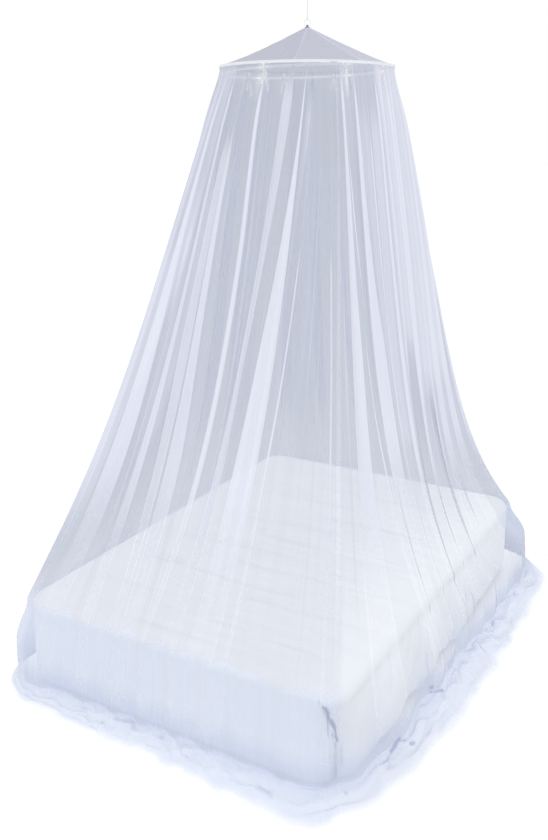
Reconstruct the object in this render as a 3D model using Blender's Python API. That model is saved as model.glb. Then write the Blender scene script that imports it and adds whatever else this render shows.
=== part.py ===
"""Mosquito net canopy hung over a double bed, for Blender 4.5.

Running this file builds the whole part: a conical net roof, a hoop tied under its seam, a net wall
in four widths that flares from the hoop to the bed and bunches on the floor, the cord and ring that
hang it, and the plain bed it covers.

Frame: metres, +Z up, the floor at Z = 0 and the origin under the middle of the bed.
The foot of the bed faces -Y, and +X is the bed's right side seen from its foot.
"""

import math
from collections import namedtuple

import bmesh
import bpy
import numpy as np

# ---------------------------------------------------------------- driving sizes, in metres
HALF_WIDTH = 0.68
HALF_LENGTH = 0.97
BED_CORNER = 0.10

BASE_INSET = 0.040
BASE_HEIGHT = 0.150
BASE_EDGE = 0.006
MATTRESS_INSET = 0.030
MATTRESS_TOP = 0.325
MATTRESS_EDGE = 0.025
TOUCH = 0.0004

COVER_TOP = 0.372
COVER_CROWN = 0.014
COVER_EDGE = 0.045
COVER_SIDE_STEPS = (14, 4, 5, 5)
CROWN_SHARES = (0.30, 0.62, 0.86)
EDGE_TURNS = (0.0, 0.4, 1.0)
FALL_SHARES = (0.33, 0.66)
HEM_TURN = 0.006

HANG_X = 0.019
HANG_Y = 0.018
SEAM_RADIUS = 0.3260
SEAM_Z = 2.306
ROOF_RISE = 0.138
ROOF_SAG_POWER = 1.12
ROOF_EYE = 0.006
GORES = 8
GORE_TURN_DEG = 20.0
GORE_DIP = 0.004
GORE_LIP = 0.005
GORE_RINGS = (0.33, 0.67, 1.0)

NET_THICKNESS = 0.0015
HEM_THICKNESS = 0.0026
SEAM_GAP = 0.0005
EDGE_Z = 0.360
BOUND_FALL = 0.006
NET_CLEAR = 0.0040
BILLOW = 0.008
FLOOR_FOLD_Z = 0.05
LEAST_SPREAD = 0.02
CRUMPLES = 27
CRUMPLE_LEAN = 1.43
FLAP_LIFT = 0.006
FLAP_TOP_DROP = 0.0105

BINDING_CLEAR = 0.0008
BINDING_THICKNESS = 0.0016
BINDING_ABOVE = 0.0085
BINDING_BELOW = 0.0080
BINDING_SIDES = 72

HOOP_WIRE = 0.0045
HOOP_RADIUS = 0.3174
HOOP_DROP = 0.009
HOOP_TILT = 0.0070
HOOP_LOW_SIDE_DEG = 190.0
HOOP_SIDES = 48

RIBBON_THICKNESS = 0.0010
RIBBON_WIDTH = 0.008
RIBBON_PLAY = 0.0008
KNOT_SIZE = 0.0085
END_SLACK = 0.0018

FACING_DEG = -62.0
RING_RADIUS = 0.0107
RING_WIRE = 0.0013
RING_Z = 2.4625
TAB_WIDTH = 0.006
TAB_THICKNESS = 0.0010
STRAP_SINK = 0.0035
PATCH_RADIUS = 0.014
PATCH_HOLE = 0.0012
PATCH_TIP = 0.0016
PATCH_THICKNESS = 0.0014

CORD_RADIUS = 0.0015
LOOP_THICKNESS = 0.0018
LOOP_PLAY = 0.0004
KNOT_RADIUS = 0.0026
CORD_TOP = 2.5545
CEILING_Z = 2.600
PLATE_RADIUS = 0.0225
PLATE_THICKNESS = 0.004
STEM_RADIUS = 0.0022
EYE_RADIUS = 0.0080
EYE_WIRE = 0.0016

# ---------------------------------------------------------------- short tables

Fold = namedtuple("Fold", "name hoop_deg edge_deg drift rise_top rise_low sharp start")
# One row for each main fold, counter-clockwise seen from above. hoop_deg and edge_deg are the
# azimuths of its crest at the hoop and at the bed's edge, drift bends the way between them,
# rise_top and rise_low are its height in metres, sharp narrows its crest, and start is how far
# down the wall it begins (0 at the hoop, 1 at the bed's edge).
FOLDS = (
    Fold("foot left corner", -130, -126.0, 1.0, 0.005, 0.022, 1.0, 0.00),
    Fold("foot a", -121, -118.5, 1.0, 0.008, 0.038, 1.5, 0.00),
    Fold("foot b", -112, -110.0, 1.0, 0.007, 0.029, 1.0, 0.00),
    Fold("foot c", -102, -102.0, 1.0, 0.012, 0.035, 2.0, 0.00),
    Fold("foot d", -90, -94.5, 3.0, 0.013, 0.051, 2.2, 0.00),
    Fold("foot e", -71, -86.5, 0.7, 0.014, 0.038, 1.4, 0.00),
    Fold("foot f", -62, -79.0, 0.8, 0.013, 0.054, 1.2, 0.00),
    Fold("foot g", -56, -71.5, 0.8, 0.005, 0.032, 2.0, 0.25),
    Fold("foot h", -50, -63.5, 0.9, 0.007, 0.029, 1.4, 0.00),
    Fold("entrance edge", -43, -55.0, 1.0, 0.008, 0.019, 1.0, 0.00),
    Fold("right a", -38, -36.0, 1.8, 0.009, 0.032, 1.6, 0.00),
    Fold("right b", -33, -20.0, 1.8, 0.009, 0.042, 1.8, 0.00),
    Fold("right c", -25, -8.0, 1.6, 0.007, 0.032, 1.2, 0.00),
    Fold("right d", -15, 3.0, 1.4, 0.010, 0.038, 1.6, 0.00),
    Fold("right e", -5, 13.0, 1.3, 0.007, 0.029, 1.2, 0.00),
    Fold("right f", 6, 23.0, 1.3, 0.010, 0.042, 1.8, 0.00),
    Fold("right g", 18, 33.0, 1.2, 0.008, 0.032, 1.2, 0.00),
    Fold("right h", 31, 43.0, 1.1, 0.010, 0.038, 1.6, 0.00),
    Fold("head right corner", 46, 54.5, 1.0, 0.005, 0.019, 1.0, 0.00),
    Fold("head a", 61, 64.0, 1.0, 0.012, 0.035, 1.6, 0.00),
    Fold("head b", 75, 76.0, 1.0, 0.008, 0.045, 1.2, 0.00),
    Fold("head c", 90, 88.0, 1.0, 0.013, 0.038, 1.8, 0.00),
    Fold("head d", 104, 101.0, 1.0, 0.008, 0.048, 1.2, 0.00),
    Fold("head e", 118, 113.0, 1.0, 0.012, 0.032, 1.6, 0.00),
    Fold("head left corner", 130, 125.5, 1.0, 0.005, 0.019, 1.0, 0.00),
    Fold("left a", 142, 138.0, 1.0, 0.010, 0.035, 1.6, 0.00),
    Fold("left b", 154, 152.0, 1.0, 0.008, 0.042, 1.2, 0.00),
    Fold("left c", 166, 167.0, 1.0, 0.012, 0.032, 1.8, 0.00),
    Fold("left d", 178, 181.0, 1.0, 0.008, 0.045, 1.2, 0.00),
    Fold("left e", 191, 196.0, 1.0, 0.012, 0.035, 1.6, 0.00),
    Fold("left f", 204, 210.0, 1.0, 0.008, 0.042, 1.2, 0.00),
    Fold("left g", 217, 222.0, 1.0, 0.010, 0.029, 1.6, 0.00),
)

Flare = namedtuple("Flare", "azimuth_deg straight curl")
# How the wall leaves the hoop: the share of its spread that is straight, and the power of the rest.
FLARES = (
    Flare(-125, 0.76, 2.6),
    Flare(-55, 0.78, 4.0),
    Flare(20, 0.75, 6.0),
    Flare(55, 0.75, 6.0),
    Flare(125, 0.78, 4.0),
    Flare(180, 0.76, 2.6),
)

Drape = namedtuple("Drape", "place azimuth_deg bulge foot_out hem_z")
# The bed cover's fall at places round the bed: how far it bulges half way down, how far its hem
# stands out and how high the hem hangs.
DRAPES = (
    Drape("foot left corner", -125.0, 0.004, 0.002, 0.030),
    Drape("foot middle", -90.0, 0.004, 0.006, 0.028),
    Drape("foot right end", -61.0, 0.004, 0.008, 0.026),
    Drape("foot right corner", -54.5, -0.016, -0.014, 0.030),
    Drape("right front end", -50.5, 0.018, 0.010, 0.030),
    Drape("right front lobe", -40.0, 0.042, 0.034, 0.020),
    Drape("right tuck", -29.0, 0.026, 0.014, 0.050),
    Drape("right second lobe", -17.0, 0.044, 0.030, 0.024),
    Drape("right middle tuck", -3.0, 0.022, 0.012, 0.044),
    Drape("right third lobe", 14.0, 0.034, 0.024, 0.028),
    Drape("right head end", 36.0, 0.020, 0.014, 0.036),
    Drape("head right corner", 54.5, 0.004, 0.004, 0.040),
    Drape("head middle", 90.0, 0.006, 0.008, 0.045),
    Drape("head left corner", 125.5, 0.004, 0.004, 0.040),
    Drape("left middle", 180.0, 0.014, 0.016, 0.035),
)

Spread = namedtuple("Spread", "place azimuth_deg belly reach crumple")
# The net beside the bed: how far it stands off half way down, how far its hem spreads on the floor
# beyond the bed's outline, and the height of its crumples there.
SPREADS = (
    Spread("foot left corner", -125.0, 0.046, 0.066, 0.016),
    Spread("foot left", -112.0, 0.006, 0.086, 0.018),
    Spread("foot middle", -90.0, 0.000, 0.100, 0.024),
    Spread("foot right", -68.0, 0.002, 0.128, 0.030),
    Spread("foot right end", -60.0, 0.004, 0.134, 0.030),
    Spread("foot right corner", -54.5, 0.004, 0.085, 0.020),
    Spread("right front", -48.0, 0.000, 0.095, 0.020),
    Spread("right front lobe", -38.0, 0.000, 0.145, 0.024),
    Spread("right quarter", -20.0, 0.006, 0.175, 0.030),
    Spread("right middle", 0.0, 0.020, 0.185, 0.030),
    Spread("right head end", 40.0, 0.060, 0.188, 0.034),
    Spread("head right corner", 54.5, 0.082, 0.140, 0.030),
    Spread("head middle", 90.0, 0.020, 0.110, 0.024),
    Spread("head left corner", 125.5, 0.020, 0.090, 0.020),
    Spread("left middle", 180.0, 0.020, 0.080, 0.022),
    Spread("left foot end", 222.0, 0.056, 0.086, 0.020),
)

Tie = namedtuple("Tie", "name azimuth_deg first_mm second_mm splay_mm curl_mm")
# The ribbon ties: lengths of the two free ends, how far apart they hang and how far each curls.
TIES = (
    Tie("tie_1", -90.0, 46, 72, 26, 7),
    Tie("tie_2", -37.5, 60, 98, 22, 5),
    Tie("tie_3", -7.5, 72, 66, 20, 4),
    Tie("tie_4", 45.0, 58, 70, 24, 6),
    Tie("tie_5", 97.5, 50, 44, 18, 8),
    Tie("tie_6", 135.0, 34, 52, 22, 9),
    Tie("tie_7", 165.0, 62, 40, 20, 6),
    Tie("tie_8", 225.0, 56, 74, 24, 5),
)

Row = namedtuple("Row", "name fall level out")
# The wall's rows from the hoop to the hem. fall runs from 0 at the hoop to 1 at the bed's edge;
# below the edge, level is the height in metres and out the share of the floor spread.
WALL_ROWS = (
    Row("seam", 0.000, None, 0.0),
    Row("under the binding", BOUND_FALL, None, 0.0),
    Row("below the hoop", 0.030, None, 0.0),
    Row("upper", 0.110, None, 0.0),
    Row("shoulder", 0.260, None, 0.0),
    Row("middle", 0.440, None, 0.0),
    Row("lower", 0.620, None, 0.0),
    Row("flare", 0.800, None, 0.0),
    Row("over the bed", 0.920, None, 0.0),
    Row("bed edge", 1.000, None, 0.0),
    Row("side", 1.000, 0.190, 0.06),
    Row("foot of the side", 1.000, 0.050, 0.22),
    Row("crumple", 1.000, 0.022, 0.62),
    Row("hem", 1.000, 0.004, 1.00),
)

Lining = namedtuple("Lining", "place inset above_hem below_mattress_top")
# The underside of the bed cover, from its hem up to where it lies on the mattress.
LININGS = (
    Lining("hem", 0.018, 0.004, None),
    Lining("side", 0.022, None, 0.030),
    Lining("turn", 0.028, None, 0.003),
    Lining("mattress edge", 0.052, None, -TOUCH),
)

Rim = namedtuple("Rim", "share drop")
# The ceiling plate's outline from its middle to its rim: the share of its radius and the height
# below the plate's lower edge.
PLATE_RIMS = (
    Rim(0.60, 0.0012),
    Rim(0.94, 0.0),
    Rim(1.00, -0.001),
    Rim(1.00, -PLATE_THICKNESS),
)

FINE_STEPS = (-0.5, -0.18, 0.18)
PLAIN_STEPS = (-0.5, 0.0)
FOOT_LEFT_SEAM = -0.5
ENTRANCE_EDGE = 9.0
HEAD_RIGHT_SEAM = 18.5
HEAD_LEFT_SEAM = 24.5
FLAP_START = 8.0
FLAP_EASE = 0.2
LAP_COLUMNS = (8.5, 8.7, 8.93)


# ---------------------------------------------------------------- Blender helpers

def clear_scene():
    """Remove whatever the open file holds."""
    for item in list(bpy.data.objects):
        bpy.data.objects.remove(item)


def material(name, colour, roughness, metallic=0.0):
    """A plain Principled material."""
    made = bpy.data.materials.new(name)
    made.use_nodes = True
    shader = made.node_tree.nodes["Principled BSDF"]
    shader.inputs["Base Color"].default_value = (*colour, 1.0)
    shader.inputs["Roughness"].default_value = roughness
    shader.inputs["Metallic"].default_value = metallic
    return made


def add_object(name, points, faces, finish, smooth_deg=40.0):
    """One closed mesh object from points and faces, with its normals pointing out."""
    mesh = bpy.data.meshes.new(name)
    mesh.from_pydata([tuple(point) for point in points], [], faces)
    shape = bmesh.new()
    shape.from_mesh(mesh)
    bmesh.ops.recalc_face_normals(shape, faces=shape.faces)
    shape.to_mesh(mesh)
    shape.free()
    mesh.shade_smooth()
    mesh.set_sharp_from_angle(angle=math.radians(smooth_deg))
    mesh.materials.append(finish)
    made = bpy.data.objects.new(name, mesh)
    bpy.context.scene.collection.objects.link(made)
    return made


def loft(rings, closed=False):
    """Points and faces of a tube through rings of equal length; capped unless it closes."""
    count = len(rings[0])
    points = [point for ring in rings for point in ring]
    faces = []
    turns = len(rings) if closed else len(rings) - 1
    for turn in range(turns):
        here = turn * count
        there = ((turn + 1) % len(rings)) * count
        for step in range(count):
            after = (step + 1) % count
            faces.append((here + step, here + after, there + after, there + step))
    if not closed:
        faces.append(tuple(reversed(range(count))))
        faces.append(tuple(range(len(points) - count, len(points))))
    return points, faces


def sheet(name, outer, inner, finish):
    """A thin closed solid between two equal grids of points, rows by columns.

    Each cell is cut along its shorter diagonal, the same one on both sides, so that the two
    sides stay apart where the cloth twists.
    """
    rows, columns = outer.shape[:2]
    points = np.concatenate([outer.reshape(-1, 3), inner.reshape(-1, 3)])
    back = rows * columns
    falling = np.linalg.norm(outer[1:, 1:] - outer[:-1, :-1], axis=2)
    rising = np.linalg.norm(outer[1:, :-1] - outer[:-1, 1:], axis=2)
    faces = []
    for row in range(rows - 1):
        for column in range(columns - 1):
            corner = row * columns + column
            cell = [corner, corner + 1, corner + columns + 1, corner + columns]
            if rising[row, column] < falling[row, column]:
                cell = cell[1:] + cell[:1]
            for half in (cell[:3], cell[2:] + cell[:1]):
                faces.append(tuple(half))
                faces.append(tuple(back + place for place in reversed(half)))
    border = [column for column in range(columns)]
    border += [row * columns + columns - 1 for row in range(1, rows)]
    border += [(rows - 1) * columns + column for column in range(columns - 2, -1, -1)]
    border += [row * columns for row in range(rows - 2, 0, -1)]
    for here, there in zip(border, border[1:] + border[:1]):
        faces.append((there, here, back + here, back + there))
    return add_object(name, points, faces, finish)


def join_bodies(base, helpers):
    """Union helper solids into a base object and keep the helpers as hidden guides."""
    for helper in helpers:
        helper.hide_render = True
        helper.display_type = "WIRE"
        union = base.modifiers.new(f"join {helper.name}", "BOOLEAN")
        union.operation = "UNION"
        union.object = helper
    return base


# ---------------------------------------------------------------- shape of the bed and the net

def smooth_step(value):
    """Ease from 0 to 1."""
    eased = np.clip(value, 0.0, 1.0)
    return eased * eased * (3.0 - 2.0 * eased)


def round_table(angle, table, column):
    """Read one column of a table of places round the bed, eased between its rows."""
    places = np.radians([row.azimuth_deg for row in table])
    values = np.array([getattr(row, column) for row in table])
    places = np.append(places, places[0] + 2.0 * math.pi)
    values = np.append(values, values[0])
    turned = places[0] + np.mod(np.asarray(angle) - places[0], 2.0 * math.pi)
    after = np.clip(np.searchsorted(places, turned, side="right"), 1, len(places) - 1)
    share = (turned - places[after - 1]) / (places[after] - places[after - 1])
    return values[after - 1] + (values[after] - values[after - 1]) * smooth_step(share)


def bed_reach(angle, grow):
    """Distance from the bed's middle to its rounded outline grown by a margin."""
    corner = BED_CORNER + grow
    middle_x = HALF_WIDTH - BED_CORNER
    middle_y = HALF_LENGTH - BED_CORNER
    along_x = np.maximum(np.abs(np.cos(angle)), 1e-9)
    along_y = np.maximum(np.abs(np.sin(angle)), 1e-9)
    flat = np.minimum((HALF_WIDTH + grow) / along_x, (HALF_LENGTH + grow) / along_y)
    in_corner = (flat * along_x > middle_x) & (flat * along_y > middle_y)
    reach = along_x * middle_x + along_y * middle_y
    left_over = reach * reach - (middle_x * middle_x + middle_y * middle_y - corner * corner)
    return np.where(in_corner, reach + np.sqrt(np.maximum(left_over, 0.0)), flat)


def outline_azimuths(corner_steps, side_steps):
    """Azimuths of points round the bed's outline: even round each corner and along each side."""
    middle = np.array([HALF_WIDTH - BED_CORNER, HALF_LENGTH - BED_CORNER])
    points = []
    for quarter, across in enumerate(((1, -1), (1, 1), (-1, 1), (-1, -1))):
        turns = math.pi / 2.0 * (quarter - 1.0 + np.arange(corner_steps + 1) / corner_steps)
        arc = middle * across + BED_CORNER * np.stack([np.cos(turns), np.sin(turns)], axis=1)
        following = middle * ((1, 1), (-1, 1), (-1, -1), (1, -1))[quarter]
        following = following + BED_CORNER * np.array([math.cos(turns[-1]), math.sin(turns[-1])])
        shares = np.arange(1, side_steps[quarter])[:, None] / side_steps[quarter]
        points.extend(arc)
        points.extend(arc[-1] + (following - arc[-1]) * shares)
    points = np.array(points)
    return np.arctan2(points[:, 1], points[:, 0])


def cover_grow(angle, level):
    """How far the bed cover stands out from the bed's outline at a height beside the bed."""
    bulge = round_table(angle, DRAPES, "bulge")
    foot = round_table(angle, DRAPES, "foot_out")
    hem = round_table(angle, DRAPES, "hem_z")
    shoulder = COVER_TOP - COVER_EDGE
    down = np.clip((shoulder - level) / (shoulder - hem), 0.0, 1.0)
    return bulge * np.sin(math.pi * down) + foot * down


def fold_row(column, name):
    """Read one column of the fold table at a cloth coordinate, whole numbers being crests."""
    low = int(math.floor(column))
    share = column - low
    count = len(FOLDS)
    turn = 360.0 if name.endswith("_deg") else 0.0
    here = getattr(FOLDS[low % count], name) + turn * (low // count)
    there = getattr(FOLDS[(low + 1) % count], name) + turn * ((low + 1) // count)
    return here + (there - here) * share


def fold_azimuth(column, fall):
    """Azimuth of a thread of the cloth at a share of its fall."""
    at_hoop = fold_row(column, "hoop_deg")
    at_edge = fold_row(column, "edge_deg")
    return math.radians(at_hoop + (at_edge - at_hoop) * fall ** fold_row(column, "drift"))


def fold_rise(column, fall):
    """Height of the fold relief at a thread and a share of its fall."""
    crest = int(math.floor(column + 0.5))
    fold = FOLDS[crest % len(FOLDS)]
    wave = (0.5 + 0.5 * math.cos(2.0 * math.pi * (column - crest))) ** fold.sharp
    begun = float(smooth_step((fall - fold.start - BOUND_FALL) / 0.10))
    return wave * begun * (fold.rise_top + (fold.rise_low - fold.rise_top) * fall)


def flap_share(column):
    """How much of the flap's lift a thread has, from 0 on the sewn wall to 1 on the flap."""
    return float(smooth_step((column - FLAP_START - FLAP_EASE) / FLAP_EASE))


def wall_point(column, row, on_flap=False):
    """A point of the wall's outer face."""
    fall = row.fall
    azimuth = fold_azimuth(column, fall)
    direction = np.array([math.cos(azimuth), math.sin(azimuth), 0.0])
    lift = FLAP_LIFT * flap_share(column) if on_flap else 0.0
    rise = fold_rise(column, fall) + lift
    if row.level is None:
        goal = fold_azimuth(column, 1.0)
        straight = float(round_table(goal, FLARES, "straight"))
        curl = float(round_table(goal, FLARES, "curl"))
        freed = max(fall - BOUND_FALL, 0.0) / (1.0 - BOUND_FALL)
        spread = straight * freed + (1.0 - straight) * freed ** curl
        edge = float(bed_reach(goal, NET_CLEAR + cover_grow(goal, EDGE_Z)))
        reach = SEAM_RADIUS + (edge - SEAM_RADIUS) * spread
        reach += BILLOW * math.sin(2.0 * math.pi * freed)
        axis = np.array([HANG_X, HANG_Y, 0.0]) * (1.0 - fall)
        height = SEAM_Z + (EDGE_Z - SEAM_Z) * fall
        if on_flap and fall == 0.0:
            height -= FLAP_TOP_DROP * float(smooth_step((column - FLAP_START) / FLAP_EASE))
        return axis + direction * (reach + rise) + np.array([0.0, 0.0, height])
    beside = float(cover_grow(azimuth, max(row.level, FLOOR_FOLD_Z)))
    beside += float(round_table(azimuth, SPREADS, "belly")) + NET_CLEAR
    floor = float(round_table(azimuth, SPREADS, "reach"))
    grow = beside + max(floor - beside, LEAST_SPREAD) * row.out
    if row.level < FLOOR_FOLD_Z:
        turn = 2.0 * math.pi * (CRUMPLES * column / len(FOLDS) + CRUMPLE_LEAN * row.out)
        crumple = float(round_table(azimuth, SPREADS, "crumple")) * (1.0 - row.out)
        height = row.level + lift + crumple * (0.5 + 0.5 * math.sin(turn))
        reach = float(bed_reach(azimuth, grow + 0.5 * (rise + lift)))
        return direction * reach + np.array([0.0, 0.0, height])
    return direction * float(bed_reach(azimuth, grow + rise)) + np.array([0.0, 0.0, row.level])


def wall_normal(column, row_index, on_flap):
    """Outward normal of the wall at a thread and a row, from its neighbours."""
    above = WALL_ROWS[max(row_index - 1, 0)]
    below = WALL_ROWS[min(row_index + 1, len(WALL_ROWS) - 1)]
    row = WALL_ROWS[row_index]
    across = wall_point(column + 0.12, row, on_flap) - wall_point(column - 0.12, row, on_flap)
    down = wall_point(column, below, on_flap) - wall_point(column, above, on_flap)
    normal = np.cross(down, across)
    return normal / np.linalg.norm(normal)


# ---------------------------------------------------------------- the pieces

def wall_columns(first, last, steps):
    """Threads of a panel: a few for each fold, and its two edges."""
    inside = [crest + step for crest in range(-1, len(FOLDS) + 1) for step in steps]
    return [first] + [column for column in inside if first + 0.1 < column < last - 0.1] + [last]


def make_wall(name, columns, finish, gap_first, gap_last, on_flap=False):
    """A width of net as a thin sheet; a sewn edge keeps a hair's gap to its neighbour."""
    outer = []
    inner = []
    for index, row in enumerate(WALL_ROWS):
        line = np.array([wall_point(column, row, on_flap) for column in columns])
        normals = np.array([wall_normal(column, index, on_flap) for column in columns])
        if gap_first:
            line[0] += (line[1] - line[0]) / np.linalg.norm(line[1] - line[0]) * SEAM_GAP / 2.0
        if gap_last:
            line[-1] += (line[-2] - line[-1]) / np.linalg.norm(line[-2] - line[-1]) * SEAM_GAP / 2.0
        thickness = np.full((len(columns), 1), NET_THICKNESS)
        if on_flap:
            thickness[-2:] = HEM_THICKNESS
        outer.append(line)
        inner.append(line - normals * thickness)
    return sheet(name, np.array(outer), np.array(inner), finish)


def make_walls(finish):
    """The four widths of the net wall, with the entrance flap lapping over the right one."""
    foot = wall_columns(FOOT_LEFT_SEAM, FLAP_START, FINE_STEPS)
    foot += [FLAP_START + FLAP_EASE, FLAP_START + 2.0 * FLAP_EASE, *LAP_COLUMNS, ENTRANCE_EDGE]
    make_wall("net_wall_foot", foot, finish, True, False, on_flap=True)
    right = [*LAP_COLUMNS, *wall_columns(ENTRANCE_EDGE + FINE_STEPS[-1], HEAD_RIGHT_SEAM, FINE_STEPS)]
    make_wall("net_wall_right", right, finish, False, True)
    head = wall_columns(HEAD_RIGHT_SEAM, HEAD_LEFT_SEAM, PLAIN_STEPS)
    make_wall("net_wall_head", head, finish, True, True)
    left = wall_columns(HEAD_LEFT_SEAM, FOOT_LEFT_SEAM + len(FOLDS), PLAIN_STEPS)
    make_wall("net_wall_left", left, finish, True, True)


def roof_height(radius):
    """Height of the roof's outer face at a distance from its axis."""
    inward = np.clip(1.0 - np.asarray(radius) / SEAM_RADIUS, 0.0, 1.0)
    return SEAM_Z + GORE_LIP + SEAM_GAP + ROOF_RISE * inward ** ROOF_SAG_POWER


def make_gore(number, finish):
    """One wedge of the roof, dipping between its seams, with a short lip inside the binding."""
    step = 2.0 * math.pi / GORES
    start = math.radians(GORE_TURN_DEG) + number * step
    shares = np.linspace(0.0, 1.0, 7)
    outer = []
    for radius in (ROOF_EYE, *(share * SEAM_RADIUS for share in GORE_RINGS)):
        margin = SEAM_GAP / 2.0 / radius
        angles = start + margin + shares * (step - 2.0 * margin)
        dip = GORE_DIP * np.sin(math.pi * shares) * math.sin(math.pi * radius / SEAM_RADIUS)
        height = roof_height(radius) - dip
        outer.append(np.stack([radius * np.cos(angles), radius * np.sin(angles), height], axis=1))
    lip = outer[-1].copy()
    lip[:, 2] -= GORE_LIP
    outer.append(lip)
    outer = np.array(outer)
    inner = outer.copy()
    inner[:-1, :, 2] -= NET_THICKNESS
    inner[-2:, :, :2] *= 1.0 - NET_THICKNESS / SEAM_RADIUS
    shift = np.array([HANG_X, HANG_Y, 0.0])
    return sheet(f"roof_gore_{number + 1}", outer + shift, inner + shift, finish)


def make_binding(finish):
    """The tape that covers the seam between the roof and the wall."""
    inside = SEAM_RADIUS + BINDING_CLEAR
    outside = inside + BINDING_THICKNESS
    low = SEAM_Z - BINDING_BELOW
    high = SEAM_Z + BINDING_ABOVE
    rings = []
    for side in range(BINDING_SIDES):
        angle = 2.0 * math.pi * side / BINDING_SIDES
        section = ((inside, low), (outside, low), (outside, high), (inside, high))
        rings.append([around_axis(reach, angle, height) for reach, height in section])
    return add_object("seam_binding", *loft(rings, closed=True), finish)


def around_axis(reach, angle, height):
    """A point round the line the net hangs on."""
    return (HANG_X + reach * math.cos(angle), HANG_Y + reach * math.sin(angle), height)


def hoop_height(angle):
    """Height of the hoop's middle line; it hangs a little lower on one side."""
    return SEAM_Z - HOOP_DROP - HOOP_TILT * math.cos(angle - math.radians(HOOP_LOW_SIDE_DEG))


def make_hoop(finish):
    """The round hoop tied inside the wall, just under the seam."""
    rings = []
    for side in range(HOOP_SIDES):
        angle = 2.0 * math.pi * side / HOOP_SIDES
        ring = []
        for corner in range(8):
            turn = 2.0 * math.pi * corner / 8
            reach = HOOP_RADIUS + HOOP_WIRE * math.cos(turn)
            height = hoop_height(angle) + HOOP_WIRE * math.sin(turn)
            ring.append(around_axis(reach, angle, height))
        rings.append(ring)
    return add_object("hoop", *loft(rings, closed=True), finish)


def loop_rings(inner_half, thickness, low, high, width):
    """Cross-sections of a strap bent into a long upright loop, in its own plane (out, along, up)."""
    arc = 5
    path = []
    for step in range(arc + 1):
        turn = math.pi * step / arc
        path.append((math.cos(turn), math.sin(turn), high))
    for step in range(arc + 1):
        turn = math.pi + math.pi * step / arc
        path.append((math.cos(turn), math.sin(turn), low))
    rings = []
    for out, up, level in path:
        near = inner_half
        far = inner_half + thickness
        rings.append([
            (near * out, -width / 2.0, level + near * up),
            (far * out, -width / 2.0, level + far * up),
            (far * out, width / 2.0, level + far * up),
            (near * out, width / 2.0, level + near * up),
        ])
    return rings


def place(points, origin, azimuth):
    """Turn points given as (out, along, up) to an azimuth and move them to an origin."""
    cosine = math.cos(azimuth)
    sine = math.sin(azimuth)
    return [(origin[0] + out * cosine - along * sine,
             origin[1] + out * sine + along * cosine,
             origin[2] + up) for out, along, up in points]


def ribbon_rings(length, sideways, curl):
    """Cross-sections of a hanging ribbon end that first arches out, then falls."""
    rings = []
    for step in range(6):
        share = step / 5.0
        along = sideways * (1.0 - (1.0 - share) ** 2)
        out = -curl * math.sin(math.pi * 0.9 * share)
        up = 0.10 * length * math.sin(math.pi * min(share * 2.0, 1.0)) - length * share
        half = RIBBON_WIDTH / 2.0 * (0.55 + 0.45 * math.sin(math.pi * (0.15 + 0.35 * share)))
        thick = RIBBON_THICKNESS / 2.0
        rings.append([(out - thick, along - half, up), (out + thick, along - half, up),
                      (out + thick, along + half, up), (out - thick, along + half, up)])
    return rings


def make_tie(tie, finish):
    """A ribbon sewn at the seam: its loop round the hoop, its knot and its two free ends."""
    azimuth = math.radians(tie.azimuth_deg)
    middle = hoop_height(azimuth)
    origin = around_axis(HOOP_RADIUS, azimuth, middle)
    top = SEAM_Z - 2.0 * RIBBON_THICKNESS - middle
    loop = loop_rings(HOOP_WIRE + RIBBON_PLAY, RIBBON_THICKNESS, 0.0, top, RIBBON_WIDTH)
    points, faces = loft(loop, closed=True)
    base = add_object(tie.name, place(points, origin, azimuth), faces, finish)
    hang = -(HOOP_WIRE + RIBBON_PLAY + RIBBON_THICKNESS + 0.30 * KNOT_SIZE)
    helpers = []
    half = KNOT_SIZE / 2.0
    knot = [[(out * half * wide, along * half * wide, hang + up * half * 0.8)
             for out, along in ((-1, -1), (1, -1), (1, 1), (-1, 1))]
            for up, wide in ((-1, 0.55), (-0.4, 1.0), (0.4, 1.0), (1, 0.6))]
    points, faces = loft(knot)
    helpers.append(add_object(f"{tie.name} knot", place(points, origin, azimuth), faces, finish))
    ends = ((tie.first_mm, -tie.splay_mm, tie.curl_mm), (tie.second_mm, tie.splay_mm, 0.6 * tie.curl_mm))
    for number, (length, sideways, curl) in enumerate(ends):
        rings = ribbon_rings(length / 1000.0, sideways / 2000.0, curl / 1000.0)
        slack = END_SLACK if number else -END_SLACK
        rings = [[(out + slack, along, up + hang) for out, along, up in ring] for ring in rings]
        points, faces = loft(rings)
        points = place(points, origin, azimuth)
        helpers.append(add_object(f"{tie.name} end {number}", points, faces, finish))
    return join_bodies(base, helpers)


def torus_rings(radius, wire, count, sides, centre, azimuth):
    """Cross-sections of an upright ring whose plane stands across an azimuth."""
    rings = []
    for step in range(count):
        turn = 2.0 * math.pi * step / count
        section = []
        for side in range(sides):
            around = 2.0 * math.pi * side / sides
            reach = radius + wire * math.cos(around)
            section.append((wire * math.sin(around), reach * math.cos(turn), reach * math.sin(turn)))
        rings.append(place(section, centre, azimuth))
    return rings


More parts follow.
